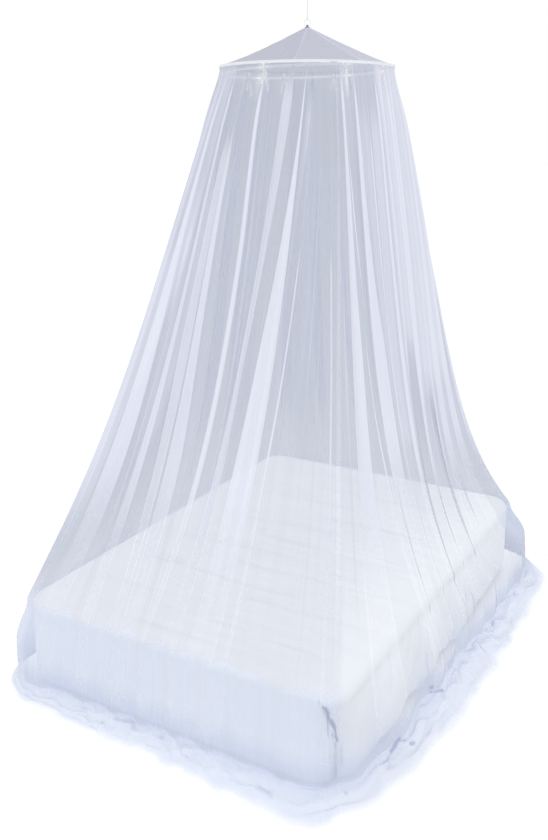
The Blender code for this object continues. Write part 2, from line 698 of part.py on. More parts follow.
def make_hangings(materials):
    """The ring at the roof's tip, the cord above it and the hook plate under the ceiling."""
    facing = math.radians(FACING_DEG)
    centre = (HANG_X, HANG_Y, RING_Z)
    ring = torus_rings(RING_RADIUS, RING_WIRE, 24, 8, centre, facing)
    add_object("hanging_ring", *loft(ring, closed=True), materials["metal"])

    patch = []
    for radius, lift in ((PATCH_HOLE, PATCH_TIP), (0.5 * PATCH_RADIUS, 0.0), (PATCH_RADIUS, 0.0)):
        patch.append((radius, float(roof_height(max(radius, ROOF_EYE))) + TOUCH + lift))
    profile = [(radius, low + PATCH_THICKNESS) for radius, low in patch] + list(reversed(patch))
    rings = []
    for side in range(16):
        turn = 2.0 * math.pi * side / 16
        rings.append([around_axis(radius, turn, height) for radius, height in profile])
    tab = add_object("apex_tab", *loft(rings, closed=True), materials["tab"])
    wire_z = RING_Z - RING_RADIUS
    foot = float(roof_height(ROOF_EYE)) + TOUCH + STRAP_SINK
    half = RING_WIRE + SEAM_GAP
    loop = loop_rings(half, TAB_THICKNESS, foot - wire_z, SEAM_GAP, TAB_WIDTH)
    points, faces = loft(loop, closed=True)
    points = place(points, (HANG_X, HANG_Y, wire_z), facing)
    strap = add_object("apex strap", points, faces, materials["tab"])
    join_bodies(tab, [strap])

    cord_low = RING_Z + RING_RADIUS + loop_reach(RING_WIRE)
    eye_z = CORD_TOP + loop_reach(EYE_WIRE) + EYE_RADIUS
    make_cord_loop("cord_loop_lower", RING_Z + RING_RADIUS, RING_WIRE, 1.0, facing, materials["cord"])
    make_cord_loop("cord_loop_upper", eye_z - EYE_RADIUS, EYE_WIRE, -1.0, facing, materials["cord"])
    make_cord(cord_low, CORD_TOP, materials["cord"])
    make_ceiling_hook(eye_z, facing, materials["metal"])


def knot_height(wire):
    """Distance from a ring's wire to the middle of the knot tied on it."""
    return wire + LOOP_PLAY + LOOP_THICKNESS + 0.45 * KNOT_RADIUS


def loop_reach(wire):
    """Distance from a ring's wire to the end of the cord beyond the knot."""
    return knot_height(wire) + KNOT_RADIUS + TOUCH


def make_cord_loop(name, wire_z, wire, side, facing, finish):
    """The cord's end tied round a ring's wire: a small loop and its knot."""
    half = wire + LOOP_PLAY
    thickness = LOOP_THICKNESS
    knot_z = side * knot_height(wire)
    low, high = -LOOP_PLAY, LOOP_PLAY
    points, faces = loft(loop_rings(half, thickness, low, high, 2.0 * CORD_RADIUS), closed=True)
    base = add_object(name, place(points, (HANG_X, HANG_Y, wire_z), facing), faces, finish)
    shape = bmesh.new()
    bmesh.ops.create_icosphere(shape, subdivisions=2, radius=KNOT_RADIUS)
    mesh = bpy.data.meshes.new(f"{name} knot")
    shape.to_mesh(mesh)
    shape.free()
    knot = bpy.data.objects.new(f"{name} knot", mesh)
    knot.location = (HANG_X, HANG_Y, wire_z + knot_z)
    bpy.context.scene.collection.objects.link(knot)
    return join_bodies(base, [knot])


def make_cord(low, high, finish):
    """The taut cord from the ring up to the hook."""
    curve = bpy.data.curves.new("hanging_cord", "CURVE")
    curve.dimensions = "3D"
    curve.bevel_depth = CORD_RADIUS
    curve.bevel_resolution = 2
    curve.use_fill_caps = True
    spline = curve.splines.new("POLY")
    heights = np.linspace(low, high, 10)
    spline.points.add(len(heights) - 1)
    for point, height in zip(spline.points, heights):
        point.co = (HANG_X, HANG_Y, height, 1.0)
    curve.materials.append(finish)
    made = bpy.data.objects.new("hanging_cord", curve)
    bpy.context.scene.collection.objects.link(made)
    return made


def make_ceiling_hook(eye_z, facing, finish):
    """A round plate screwed under the ceiling, with a stem and a closed eye."""
    low = CEILING_Z - PLATE_THICKNESS
    turns = [2.0 * math.pi * side / 24 for side in range(24)]
    rings = [[around_axis(rim.share * PLATE_RADIUS, turn, low - rim.drop) for turn in turns]
             for rim in PLATE_RIMS]
    plate = add_object("ceiling_hook", *loft(rings), finish)
    eye = torus_rings(EYE_RADIUS, EYE_WIRE, 20, 8, (HANG_X, HANG_Y, eye_z), facing)
    eye_body = add_object("hook eye", *loft(eye, closed=True), finish)
    stem_turns = turns[::3]
    stem_foot = eye_z + EYE_RADIUS - 0.5 * EYE_WIRE
    stem_rings = [[around_axis(STEM_RADIUS, turn, height) for turn in stem_turns]
                  for height in (stem_foot, low)]
    stem = add_object("hook stem", *loft(stem_rings), finish)
    return join_bodies(plate, [eye_body, stem])


def rounded_block(name, inset, low, high, edge, finish):
    """A bed-shaped block with rounded corners and softened top and bottom edges."""
    azimuths = outline_azimuths(5, (2, 2, 2, 2))
    sections = ((low, 1.0), (low + edge, 0.0), (high - edge, 0.0), (high - 0.3 * edge, 0.3), (high, 1.0))
    rings = []
    for height, draw in sections:
        reach = bed_reach(azimuths, -inset - draw * edge)
        rings.append([(distance * math.cos(angle), distance * math.sin(angle), height)
                      for distance, angle in zip(reach, azimuths)])
    return add_object(name, *loft(rings), finish)


def make_cover(finish):
    """The filled bed cover: a crowned top, rounded edges and falls with soft lobes on the right."""
    azimuths = outline_azimuths(5, COVER_SIDE_STEPS)
    hem = round_table(azimuths, DRAPES, "hem_z")
    shoulder = COVER_TOP - COVER_EDGE

    def ring(grow, height):
        reach = bed_reach(azimuths, grow)
        height = np.broadcast_to(height, reach.shape)
        return np.stack([reach * np.cos(azimuths), reach * np.sin(azimuths), height], axis=1)

    outer = []
    for share in CROWN_SHARES:
        whole = ring(-COVER_EDGE, COVER_TOP)
        crowned = whole * np.array([share, share, 1.0])
        crowned[:, 2] += COVER_CROWN * (1.0 - share ** 2)
        outer.append(crowned)
    for turn in EDGE_TURNS:
        lean = math.pi / 2.0 * turn
        outer.append(ring(-COVER_EDGE * (1.0 - math.sin(lean)), shoulder + COVER_EDGE * math.cos(lean)))
    above_hem = hem + 1.7 * HEM_TURN
    for down in (*FALL_SHARES, 1.0):
        level = shoulder + (above_hem - shoulder) * down
        outer.append(ring(cover_grow(azimuths, level), level))
    outer.append(ring(cover_grow(azimuths, hem) - HEM_TURN, hem))
    for row in LININGS:
        level = MATTRESS_TOP - row.below_mattress_top if row.above_hem is None else hem + row.above_hem
        outer.append(ring(-row.inset, level))
    outer.append(outer[-1] * np.array([0.5, 0.5, 1.0]))
    rings = [[tuple(point) for point in line] for line in outer]
    return add_object("bed_cover", *loft(rings), finish)


def main():
    """Build every piece."""
    clear_scene()
    net = material("net", (0.80, 0.82, 0.88), 0.85)
    tape = material("tape", (0.90, 0.91, 0.95), 0.80)
    ribbon = material("ribbon", (0.88, 0.89, 0.94), 0.75)
    hoop = material("hoop_plastic", (0.90, 0.90, 0.92), 0.45)
    linen = material("bed_linen", (0.88, 0.88, 0.92), 0.90)
    ticking = material("mattress_ticking", (0.82, 0.82, 0.84), 0.90)
    divan = material("divan_cloth", (0.72, 0.73, 0.76), 0.90)
    fittings = {
        "metal": material("white_metal", (0.86, 0.86, 0.86), 0.35),
        "tab": material("tab_webbing", (0.25, 0.22, 0.40), 0.80),
        "cord": material("cord", (0.86, 0.87, 0.88), 0.80),
    }
    rounded_block("bed_base", BASE_INSET, 0.0, BASE_HEIGHT, BASE_EDGE, divan)
    rounded_block("mattress", MATTRESS_INSET, BASE_HEIGHT + TOUCH, MATTRESS_TOP, MATTRESS_EDGE, ticking)
    make_cover(linen)
    make_walls(net)
    for number in range(GORES):
        make_gore(number, net)
    make_binding(tape)
    make_hoop(hoop)
    for tie in TIES:
        make_tie(tie, ribbon)
    make_hangings(fittings)


main()
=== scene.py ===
"""Mosquito net canopy over a double bed: the dressed model, laid out as an add-on.

The net roof, the gathered net wall with its pleats, the hoop, tape, ribbons and cord, the bed
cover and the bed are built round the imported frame, in metres, with procedural finishes.
"""

import math
from collections import namedtuple

import bmesh
import bpy
import numpy as np
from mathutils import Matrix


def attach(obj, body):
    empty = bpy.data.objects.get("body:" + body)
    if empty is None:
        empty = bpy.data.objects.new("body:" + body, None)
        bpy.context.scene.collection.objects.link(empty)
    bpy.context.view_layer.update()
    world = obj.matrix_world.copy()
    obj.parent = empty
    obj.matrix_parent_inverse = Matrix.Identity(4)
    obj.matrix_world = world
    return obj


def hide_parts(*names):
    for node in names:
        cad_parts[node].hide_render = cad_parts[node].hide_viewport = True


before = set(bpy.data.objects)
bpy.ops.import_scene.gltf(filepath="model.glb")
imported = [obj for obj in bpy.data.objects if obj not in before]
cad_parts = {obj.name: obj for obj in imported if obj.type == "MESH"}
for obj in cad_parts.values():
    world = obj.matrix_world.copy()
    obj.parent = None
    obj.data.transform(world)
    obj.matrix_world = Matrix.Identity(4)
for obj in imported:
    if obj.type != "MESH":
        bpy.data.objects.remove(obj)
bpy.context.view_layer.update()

bl_info = {
    "name": "Mosquito Net Canopy",
    "version": (1, 0, 0),
    "blender": (4, 5, 0),
    "location": "View3D > Sidebar > Net Canopy",
    "description": "Builds a net canopy on a hoop over a double bed",
    "category": "Add Mesh",
}

BODY = "root"

# ---------------------------------------------------------------- sizes shared with the frame

HALF_WIDTH = 0.68
HALF_LENGTH = 0.97
BED_CORNER = 0.10
COVER_TOP = 0.372
COVER_CROWN = 0.014
COVER_EDGE = 0.045
COVER_SHOULDER = COVER_TOP - COVER_EDGE
HEM_TURN = 0.006
HEM_HEIGHT = 1.7 * HEM_TURN
LINING_GAP = 0.0006
MATTRESS_INSET = 0.030
MATTRESS_LOW = 0.1504
MATTRESS_TOP = 0.325

HANG_X = 0.019
HANG_Y = 0.018
SEAM_RADIUS = 0.3260
SEAM_Z = 2.306
ROOF_RISE = 0.138
ROOF_SAG_POWER = 1.12
ROOF_EYE = 0.006
GORES = 8
GORE_TURN_DEG = 20.0
GORE_DIP = 0.004
GORE_LIP = 0.005
GORE_RIPPLE = 0.0030
GORE_LIGHTER_DEG = 20.0
FELL_WIDTH = 0.0022
FELL_SOFT = 0.0015
STITCH_LINE = 0.93
STITCH_WIDTH = 0.0035
SEAM_GAP = 0.0005
TAPE_BELOW = 0.0035
TAPE_ABOVE = 0.0060
TAPE_CLEAR = 0.0009
TAPE_THICKNESS = 0.0016

EDGE_Z = 0.360
BOUND_FALL = 0.006
NET_CLEAR = 0.0040
BILLOW = 0.008
BELLY_Z = 0.19
FLOOR_FOLD_Z = 0.05
FLOOR_FOLD_OUT = 0.22
LIES_FROM = 0.12
LEAST_SPREAD = 0.02
HEM_SPREAD = 0.040
FLAP_START = 8.0
FLAP_EASE = 0.2
FLAP_LIFT = 0.006
FLAP_LAP = 0.14

HOOP_WIRE = 0.0045
HOOP_RADIUS = 0.3174
HOOP_DROP = 0.0130
HOOP_TILT = 0.0105
HOOP_LOW_SIDE_DEG = 190.0
SLEEVE_DEG = 112.0
RIBBON_WIDTH = 0.0120
RIBBON_THICKNESS = 0.0008
TIE_PLAY = 0.0011
TIE_UNDER_SEAM = 0.0024
TIE_ROUND_HOOP = 0.085
WRAP_DROP = 0.0035
WRAP_OUT = 0.0030
WRAP_ALONG = 0.0046
WRAP_WIDTH = 0.0050
WRAP_LEANS = (0.35, -0.5)

FACING_DEG = -62.0
RING_RADIUS = 0.0107
RING_WIRE = 0.0013
RING_Z = 2.4625
CORD_RADIUS = 0.0015
CORD_TOP = 2.5545
KNOT_RADIUS = 0.0026
KNOT_OVERLAP = 0.45 * KNOT_RADIUS
EYE_WIRE = 0.0016
LOOP_PLAY = 0.0004
LOOP_THICKNESS = 0.0018
LOOP_WIDTH = 0.0028

LENS_MM = 38.83
CAMERA_PLACE = (1.7154, -3.1956, 2.0665)
LOOKS_DOWN_DEG = 17.46
LOOKS_LEFT_DEG = 29.77
FLOOR_GLOW = 0.36
SUN_WIDTH_DEG = 60.0
SUN_TURN_DEG = (9.0, 7.0, 0.0)
SKY_TINT = (0.97, 0.985, 1.0)

# ---------------------------------------------------------------- short tables

Fold = namedtuple("Fold", "hoop_deg edge_deg drift rise_top rise_low sharp start", defaults=(0.0,))
# One row for each main fold, counter-clockwise seen from above, starting at the foot left corner.
FOLDS = (
    Fold(-130, -126.0, 1.0, 0.005, 0.022, 1.0),
    Fold(-121, -118.5, 1.0, 0.008, 0.038, 1.5),
    Fold(-112, -110.0, 1.0, 0.007, 0.029, 1.0),
    Fold(-102, -102.0, 1.0, 0.012, 0.035, 2.0),
    Fold(-90, -94.5, 3.0, 0.013, 0.051, 2.2),
    Fold(-71, -86.5, 0.7, 0.014, 0.038, 1.4),
    Fold(-62, -79.0, 0.8, 0.013, 0.054, 1.2),
    Fold(-56, -71.5, 0.8, 0.005, 0.032, 2.0, 0.25),
    Fold(-50, -63.5, 0.9, 0.007, 0.029, 1.4),
    Fold(-43, -55.0, 1.0, 0.008, 0.019, 1.0),
    Fold(-38, -36.0, 1.8, 0.009, 0.032, 1.6),
    Fold(-33, -20.0, 1.8, 0.009, 0.042, 1.8),
    Fold(-25, -8.0, 1.6, 0.007, 0.032, 1.2),
    Fold(-15, 3.0, 1.4, 0.010, 0.038, 1.6),
    Fold(-5, 13.0, 1.3, 0.007, 0.029, 1.2),
    Fold(6, 23.0, 1.3, 0.010, 0.042, 1.8),
    Fold(18, 33.0, 1.2, 0.008, 0.032, 1.2),
    Fold(31, 43.0, 1.1, 0.010, 0.038, 1.6),
    Fold(46, 54.5, 1.0, 0.005, 0.019, 1.0),
    Fold(61, 64.0, 1.0, 0.012, 0.035, 1.6),
    Fold(75, 76.0, 1.0, 0.008, 0.045, 1.2),
    Fold(90, 88.0, 1.0, 0.013, 0.038, 1.8),
    Fold(104, 101.0, 1.0, 0.008, 0.048, 1.2),
    Fold(118, 113.0, 1.0, 0.012, 0.032, 1.6),
    Fold(130, 125.5, 1.0, 0.005, 0.019, 1.0),
    Fold(142, 138.0, 1.0, 0.010, 0.035, 1.6),
    Fold(154, 152.0, 1.0, 0.008, 0.042, 1.2),
    Fold(166, 167.0, 1.0, 0.012, 0.032, 1.8),
    Fold(178, 181.0, 1.0, 0.008, 0.045, 1.2),
    Fold(191, 196.0, 1.0, 0.012, 0.035, 1.6),
    Fold(204, 210.0, 1.0, 0.008, 0.042, 1.2),
    Fold(217, 222.0, 1.0, 0.010, 0.029, 1.6),
)

Flare = namedtuple("Flare", "azimuth_deg straight curl")
FLARES = (
    Flare(-125, 0.76, 2.6),
    Flare(-55, 0.78, 4.0),
    Flare(20, 0.75, 6.0),
    Flare(55, 0.75, 6.0),
    Flare(125, 0.78, 4.0),
    Flare(180, 0.76, 2.6),
)

Drape = namedtuple("Drape", "azimuth_deg bulge foot_out hem_z")
DRAPES = (
    Drape(-125.0, 0.004, 0.002, 0.030),
    Drape(-90.0, 0.004, 0.006, 0.028),
    Drape(-61.0, 0.004, 0.008, 0.026),
    Drape(-54.5, -0.016, -0.014, 0.030),
    Drape(-50.5, 0.018, 0.010, 0.030),
    Drape(-40.0, 0.042, 0.034, 0.020),
    Drape(-29.0, 0.026, 0.014, 0.050),
    Drape(-17.0, 0.044, 0.030, 0.024),
    Drape(-3.0, 0.022, 0.012, 0.044),
    Drape(14.0, 0.034, 0.024, 0.028),
    Drape(36.0, 0.020, 0.014, 0.036),
    Drape(54.5, 0.004, 0.004, 0.040),
    Drape(90.0, 0.006, 0.008, 0.045),
    Drape(125.5, 0.004, 0.004, 0.040),
    Drape(180.0, 0.014, 0.016, 0.035),
)

Spread = namedtuple("Spread", "azimuth_deg belly reach crumple")
SPREADS = (
    Spread(-125.0, 0.046, 0.066, 0.016),
    Spread(-112.0, 0.006, 0.086, 0.018),
    Spread(-90.0, 0.000, 0.100, 0.024),
    Spread(-68.0, 0.002, 0.128, 0.030),
    Spread(-60.0, 0.004, 0.134, 0.030),
    Spread(-54.5, 0.004, 0.085, 0.020),
    Spread(-48.0, 0.000, 0.095, 0.020),
    Spread(-38.0, 0.000, 0.145, 0.024),
    Spread(-20.0, 0.006, 0.175, 0.030),
    Spread(0.0, 0.020, 0.185, 0.030),
    Spread(40.0, 0.060, 0.188, 0.034),
    Spread(54.5, 0.082, 0.140, 0.030),
    Spread(90.0, 0.020, 0.110, 0.024),
    Spread(125.5, 0.020, 0.090, 0.020),
    Spread(180.0, 0.020, 0.080, 0.022),
    Spread(222.0, 0.056, 0.086, 0.020),
)

# The way down the net: 0 at the hoop, 1 at the bed's edge, FLOOR_DOWN at the floor, 2 near its hem.
FLOOR_DOWN = 1.25
STATIONS = (0.1, 0.3, 0.5, 0.7, 1.0)
PLEAT_END = 2.0
Pleat = namedtuple("Pleat", "left right begin depth dense")
# Folds laid over themselves. left and right are the two edges in cloth coordinates, whole numbers
# being the crests of FOLDS, at the five STATIONS of the fall; begin is where the fold opens; depth
# is how far its layers stand apart; dense is how full its gathers are.
FOOT_PLEATS = (
    Pleat((0.15, 0.12, 0.10, 0.10, 0.10), (0.30, 0.30, 0.32, 0.34, 0.34), 0.0, 0.0020, 0.60),
    Pleat((1.00, 1.00, 1.00, 1.00, 1.00), (1.10, 1.18, 1.28, 1.36, 1.26), 0.0, 0.0020, 0.85),
    Pleat((2.05, 2.05, 2.03, 2.00, 1.98), (2.12, 2.13, 2.14, 2.16, 2.18), 0.0, 0.0020, 0.75),
    Pleat((2.45, 2.42, 2.40, 2.55, 2.75), (2.90, 2.98, 3.00, 3.02, 3.05), 0.1, 0.0022, 0.70),
    Pleat((2.98, 3.02, 3.08, 3.12, 3.16), (3.08, 3.14, 3.24, 3.42, 3.40), 0.1, 0.0020, 0.80),
    Pleat((4.07, 4.14, 4.12, 4.09, 4.00), (4.13, 4.20, 4.18, 4.16, 4.06), 0.0, 0.0018, 1.00),
    Pleat((4.85, 4.72, 4.55, 4.48, 4.45), (5.35, 5.15, 5.00, 5.00, 4.98), 0.0, 0.0028, 0.72),
    Pleat((6.02, 5.78, 5.46, 5.32, 5.32), (6.12, 6.17, 6.18, 6.15, 6.15), 0.0, 0.0030, 0.95),
    Pleat((6.88, 6.84, 6.66, 6.45, 6.40), (6.93, 6.90, 6.72, 6.52, 6.48), 0.3, 0.0018, 0.95),
    Pleat((8.30, 8.33, 8.50, 8.62, 8.68), (8.35, 8.38, 8.54, 8.66, 8.72), 0.3, 0.0013, 0.80),
)
RIGHT_PLEATS = (
    Pleat((9.10, 9.10, 9.22, 9.36, 9.44), (9.42, 9.58, 9.78, 9.84, 9.90), 0.0, 0.0022, 0.88),
    Pleat((9.56, 9.76, 10.36, 10.72, 10.84), (9.60, 9.82, 10.42, 10.77, 10.89), 0.15, 0.0015, 0.95),
    Pleat((10.82, 10.82, 10.84, 10.90, 10.98), (11.02, 11.42, 11.72, 11.80, 11.70), 0.0, 0.0028, 0.85),
    Pleat((11.88, 11.90, 11.94, 11.97, 12.00), (11.96, 11.98, 12.02, 12.05, 12.08), 0.1, 0.0018, 0.90),
    Pleat((12.80, 12.74, 12.76, 12.80, 12.86), (12.90, 12.84, 12.86, 12.90, 12.94), 0.0, 0.0018, 0.95),
    Pleat((13.22, 13.20, 13.20, 13.20, 13.22), (13.45, 13.46, 13.46, 13.44, 13.40), 0.0, 0.0020, 0.75),
    Pleat((13.88, 13.86, 13.88, 13.90, 13.92), (14.02, 14.02, 14.04, 14.06, 14.06), 0.0, 0.0018, 0.75),
    Pleat((14.40, 14.38, 14.36, 14.34, 14.32), (14.58, 14.60, 14.60, 14.58, 14.56), 0.0, 0.0020, 0.75),
    Pleat((15.00, 14.98, 14.96, 14.94, 14.92), (15.13, 15.15, 15.16, 15.14, 15.12), 0.1, 0.0018, 0.70),
    Pleat((15.85, 15.82, 15.80, 15.78, 15.76), (16.05, 16.10, 16.12, 16.10, 16.06), 0.0, 0.0020, 0.75),
    Pleat((16.90, 16.88, 16.85, 16.82, 16.80), (17.05, 17.08, 17.12, 17.16, 17.18), 0.0, 0.0020, 0.75),
    Pleat((17.80, 17.80, 17.78, 17.75, 17.72), (17.95, 17.98, 18.00, 18.00, 18.00), 0.0, 0.0018, 0.70),
)
HEAD_PLEATS = (
    Pleat((19.10, 19.10, 19.08, 19.05, 19.02), (19.25, 19.28, 19.28, 19.26, 19.24), 0.0, 0.0020, 0.60),
    Pleat((20.16, 20.16, 20.14, 20.12, 20.10), (20.24, 20.25, 20.25, 20.25, 20.25), 0.0, 0.0020, 0.80),
    Pleat((20.60, 20.60, 20.60, 20.60, 20.60), (20.90, 20.92, 20.95, 20.95, 20.95), 0.0, 0.0022, 0.60),
    Pleat((21.60, 21.58, 21.55, 21.50, 21.48), (21.70, 21.72, 21.72, 21.70, 21.70), 0.2, 0.0018, 0.70),
    Pleat((22.50, 22.50, 22.50, 22.52, 22.55), (22.88, 22.90, 22.88, 22.80, 22.75), 0.0, 0.0022, 0.60),
    Pleat((23.60, 23.58, 23.55, 23.52, 23.50), (23.76, 23.78, 23.80, 23.80, 23.80), 0.0, 0.0020, 0.65),
)
LEFT_PLEATS = (
    Pleat((25.25, 25.20, 24.98, 24.80, 24.76), (25.33, 25.30, 25.08, 24.90, 24.86), 0.0, 0.0018, 0.80),
    Pleat((25.62, 25.60, 25.58, 25.56, 25.55), (25.88, 25.90, 25.90, 25.90, 25.90), 0.0, 0.0020, 0.60),
    Pleat((26.70, 26.68, 26.66, 26.64, 26.62), (26.98, 27.00, 27.02, 27.04, 27.04), 0.0, 0.0022, 0.65),
    Pleat((27.85, 27.82, 27.80, 27.80, 27.80), (28.45, 28.50, 28.54, 28.54, 28.50), 0.0, 0.0025, 0.60),
    Pleat((29.30, 29.30, 29.28, 29.26, 29.24), (29.38, 29.40, 29.40, 29.40, 29.40), 0.0, 0.0018, 0.80),
    Pleat((30.10, 30.10, 30.08, 30.06, 30.04), (30.30, 30.34, 30.36, 30.36, 30.34), 0.2, 0.0020, 0.65),
    Pleat((30.95, 30.95, 30.92, 30.90, 30.90), (31.08, 31.12, 31.15, 31.18, 31.18), 0.0, 0.0020, 0.75),
)

FlapPoint = namedtuple("FlapPoint", "fall column")
# The entrance flap's free edge down the wall, in cloth coordinates.
FLAP_EDGE = (
    FlapPoint(0.0, 8.93),
    FlapPoint(0.06, 8.78),
    FlapPoint(0.3, 8.76),
    FlapPoint(0.4, 8.80),
    FlapPoint(0.5, 8.82),
    FlapPoint(0.6, 8.89),
    FlapPoint(0.7, 8.94),
    FlapPoint(0.8, 8.99),
    FlapPoint(1.0, 9.0),
)

Streak = namedtuple("Streak", "left right soft begin end amount")
# Parts that hang gathered but not double, between soft edges at the five STATIONS, or between one
# edge for all five; a negative amount is a part where the net hangs open.
STREAKS = (
    Streak(-0.90, (2.10, 1.70, 1.20, 0.90, 0.60), 0.50, -0.2, 1.3, 0.48),
    Streak((0.00, 0.00, 0.20, 0.10, 0.00), (1.05, 1.05, 1.05, 1.00, 1.00), 0.10, 0.30, 0.80, 0.16),
    Streak(0.60, 1.02, 0.12, 0.80, 0.97, -0.30),
    Streak((1.35, 1.35, 1.45, 1.60, 1.60), 1.95, 0.14, 0.25, 0.95, 0.26),
    Streak((1.70, 1.60, 1.58, 1.62, 1.66), (1.78, 1.68, 1.66, 1.70, 1.74), 0.05, 0.35, 0.95, 0.24),
    Streak(2.15, (2.48, 2.45, 2.40, 2.40, 2.50), 0.08, 0.10, 0.62, 0.22),
    Streak((2.28, 2.28, 2.28, 2.30, 2.30), (2.62, 2.62, 2.62, 2.62, 2.64), 0.06, 0.55, 0.86, -0.25),
    Streak((3.25, 3.28, 3.35, 3.50, 3.60), (3.35, 3.42, 3.52, 3.66, 3.76), 0.08, 0.10, 0.95, 0.30),
    Streak((3.62, 3.66, 3.72, 3.78, 3.80), (3.68, 3.70, 3.75, 3.81, 3.84), 0.04, 0.05, 0.60, 0.22),
    Streak((4.24, 4.28, 4.33, 4.36, 4.36), (4.28, 4.34, 4.39, 4.40, 4.40), 0.06, 0.00, 0.70, 0.40),
    Streak((4.40, 4.44, 4.44, 4.44, 4.44), (4.48, 4.50, 4.50, 4.50, 4.50), 0.05, 0.00, 0.45, 0.25),
    Streak((6.30, 6.24, 6.20, 6.18, 6.18), (6.80, 6.40, 6.26, 6.24, 6.24), 0.12, 0.02, 0.50, 0.34),
    Streak((6.50, 6.90, 7.30, 7.70, 8.10), (7.30, 7.70, 8.00, 8.30, 8.60), 0.35, 0.02, 0.48, 0.20),
    Streak((7.66, 7.66, 7.68, 7.70, 7.75), (7.74, 7.74, 7.74, 7.76, 7.81), 0.06, 0.12, 0.60, 0.32),
    Streak((8.00, 8.00, 8.04, 8.14, 8.20), (8.03, 8.03, 8.07, 8.17, 8.23), 0.04, 0.38, 0.95, 0.38),
    Streak((8.80, 8.86, 8.98, 9.12, 9.24), (8.83, 8.89, 9.02, 9.16, 9.28), 0.04, 0.35, 2.00, 0.55),
    Streak((9.70, 9.86, 10.05, 10.10, 10.10), 10.75, 0.10, 0.12, 0.72, -0.14),
    Streak((11.20, 11.55, 11.80, 11.88, 11.88), (11.88, 11.90, 11.90, 11.90, 11.90), 0.15, 0.05, 0.90, 0.22),
    Streak((12.05, 12.05, 12.05, 12.08, 12.10), (12.78, 12.72, 12.70, 12.76, 12.80), 0.16, 0.05, 2.00, 0.36),
    Streak((12.95, 12.90, 12.90, 12.92, 12.95), 18.60, 0.20, -0.2, 2.00, 0.50),
    Streak(12.98, 13.16, 0.05, 0.52, 0.80, -0.50),
    Streak((13.56, 13.54, 13.52, 13.54, 13.56), (13.86, 13.84, 13.84, 13.86, 13.88), 0.05, 0.48, 0.82, -0.50),
    Streak((14.80, 14.80, 14.80, 14.82, 14.84), (14.90, 14.90, 14.90, 14.92, 14.94), 0.04, 0.60, 0.84, -0.50),
    Streak(15.20, 15.58, 0.06, 0.64, 0.84, -0.50),
    Streak(17.25, 17.75, 0.10, 0.84, 1.00, -0.45),
    Streak(18.50, 20.10, 0.20, -0.2, 2.00, 0.34),
    Streak((22.95, 22.95, 22.95, 22.90, 22.85), (23.55, 23.55, 23.52, 23.50, 23.48), 0.12, -0.2, 2.00, 0.20),
    Streak(24.90, 25.55, 0.15, -0.2, 2.00, 0.25),
    Streak(29.40, 32.00, 0.40, -0.2, 1.30, 0.40),
    Streak((9.10, 9.20, 9.40, 9.60, 9.80), 13.00, 0.40, -0.2, 0.66, 0.34),
    Streak(13.00, 17.20, 0.30, -0.2, 0.56, 0.32),
    Streak((1.00, 1.05, 1.10, 1.20, 1.20), (3.50, 3.30, 3.10, 2.90, 2.90), 0.30, 0.18, 0.62, 0.18),
)

# Parts in shade, in the same way, on the right side and beside the flap.
SHADES = (
    Streak(9.30, 17.00, 0.60, 0.96, 2.00, 0.10),
    Streak(8.60, 9.02, 0.16, 0.98, 1.30, 0.16),
)

# Painted shade round the bed's back right corner, in the same way: the net there stops more of the bright bed
# behind it.
CORNER_SHADE = (
    Streak((16.55, 16.55, 16.55, 16.55, 16.75), 19.80, 0.34, 0.98, 1.60, 1.00),
)

# Parts that catch more light, in the same way: the net that swings clear of the bed's left corner.
LIGHTS = (
    Streak(-1.30, 0.45, 0.25, 0.94, 1.30, 0.55),
    Streak(30.60, 33.00, 0.25, 0.94, 1.30, 0.55),
)

Gap = namedtuple("Gap", "column down to_column to_down width_mm dark")
# Painted shade in the small dark creases and gaps beside the bed, as short lines in cloth coordinates and way
# down.
GAP_SHADES = (
    Gap(8.62, 1.004, 8.78, 1.030, 2.0, 0.60),
    Gap(8.80, 1.036, 8.85, 1.062, 3.8, 0.80),
    Gap(8.86, 1.056, 8.95, 1.086, 6.4, 0.95),
    Gap(8.95, 1.086, 9.00, 1.128, 3.0, 0.90),
    Gap(8.92, 1.100, 8.93, 1.118, 2.4, 0.70),
    Gap(8.98, 1.126, 8.95, 1.180, 1.2, 0.35),
    Gap(9.05, 1.140, 9.04, 1.200, 1.4, 0.28),
    Gap(8.97, 1.196, 8.98, 1.236, 1.6, 0.32),
    Gap(9.05, 1.420, 9.08, 1.600, 1.6, 0.38),
    Gap(9.50, 1.470, 9.58, 1.380, 1.8, 0.45),
    Gap(9.62, 1.370, 9.78, 1.262, 6.4, 1.00),
    Gap(9.76, 1.300, 9.86, 1.420, 2.6, 0.60),
    Gap(9.86, 1.520, 9.94, 1.590, 2.6, 0.55),
    Gap(10.70, 1.110, 10.72, 1.225, 1.6, 0.40),
    Gap(10.68, 1.235, 10.86, 1.225, 3.4, 0.60),
    Gap(10.78, 1.260, 11.04, 1.372, 4.2, 0.75),
    Gap(11.68, 1.235, 11.88, 1.200, 2.6, 0.50),
    Gap(11.98, 1.205, 12.14, 1.215, 4.0, 0.80),
    Gap(12.02, 1.180, 12.06, 1.130, 1.6, 0.50),
    Gap(13.80, 1.088, 13.70, 1.150, 2.6, 0.80),
    Gap(13.70, 1.150, 13.45, 1.385, 1.5, 0.40),
    Gap(14.62, 1.410, 14.84, 1.340, 3.4, 0.60),
    Gap(16.10, 1.240, 16.24, 1.400, 2.2, 0.40),
    Gap(2.40, 1.120, 2.40, 1.240, 1.4, 0.30),
    Gap(4.30, 1.060, 4.28, 1.230, 1.3, 0.22),
)

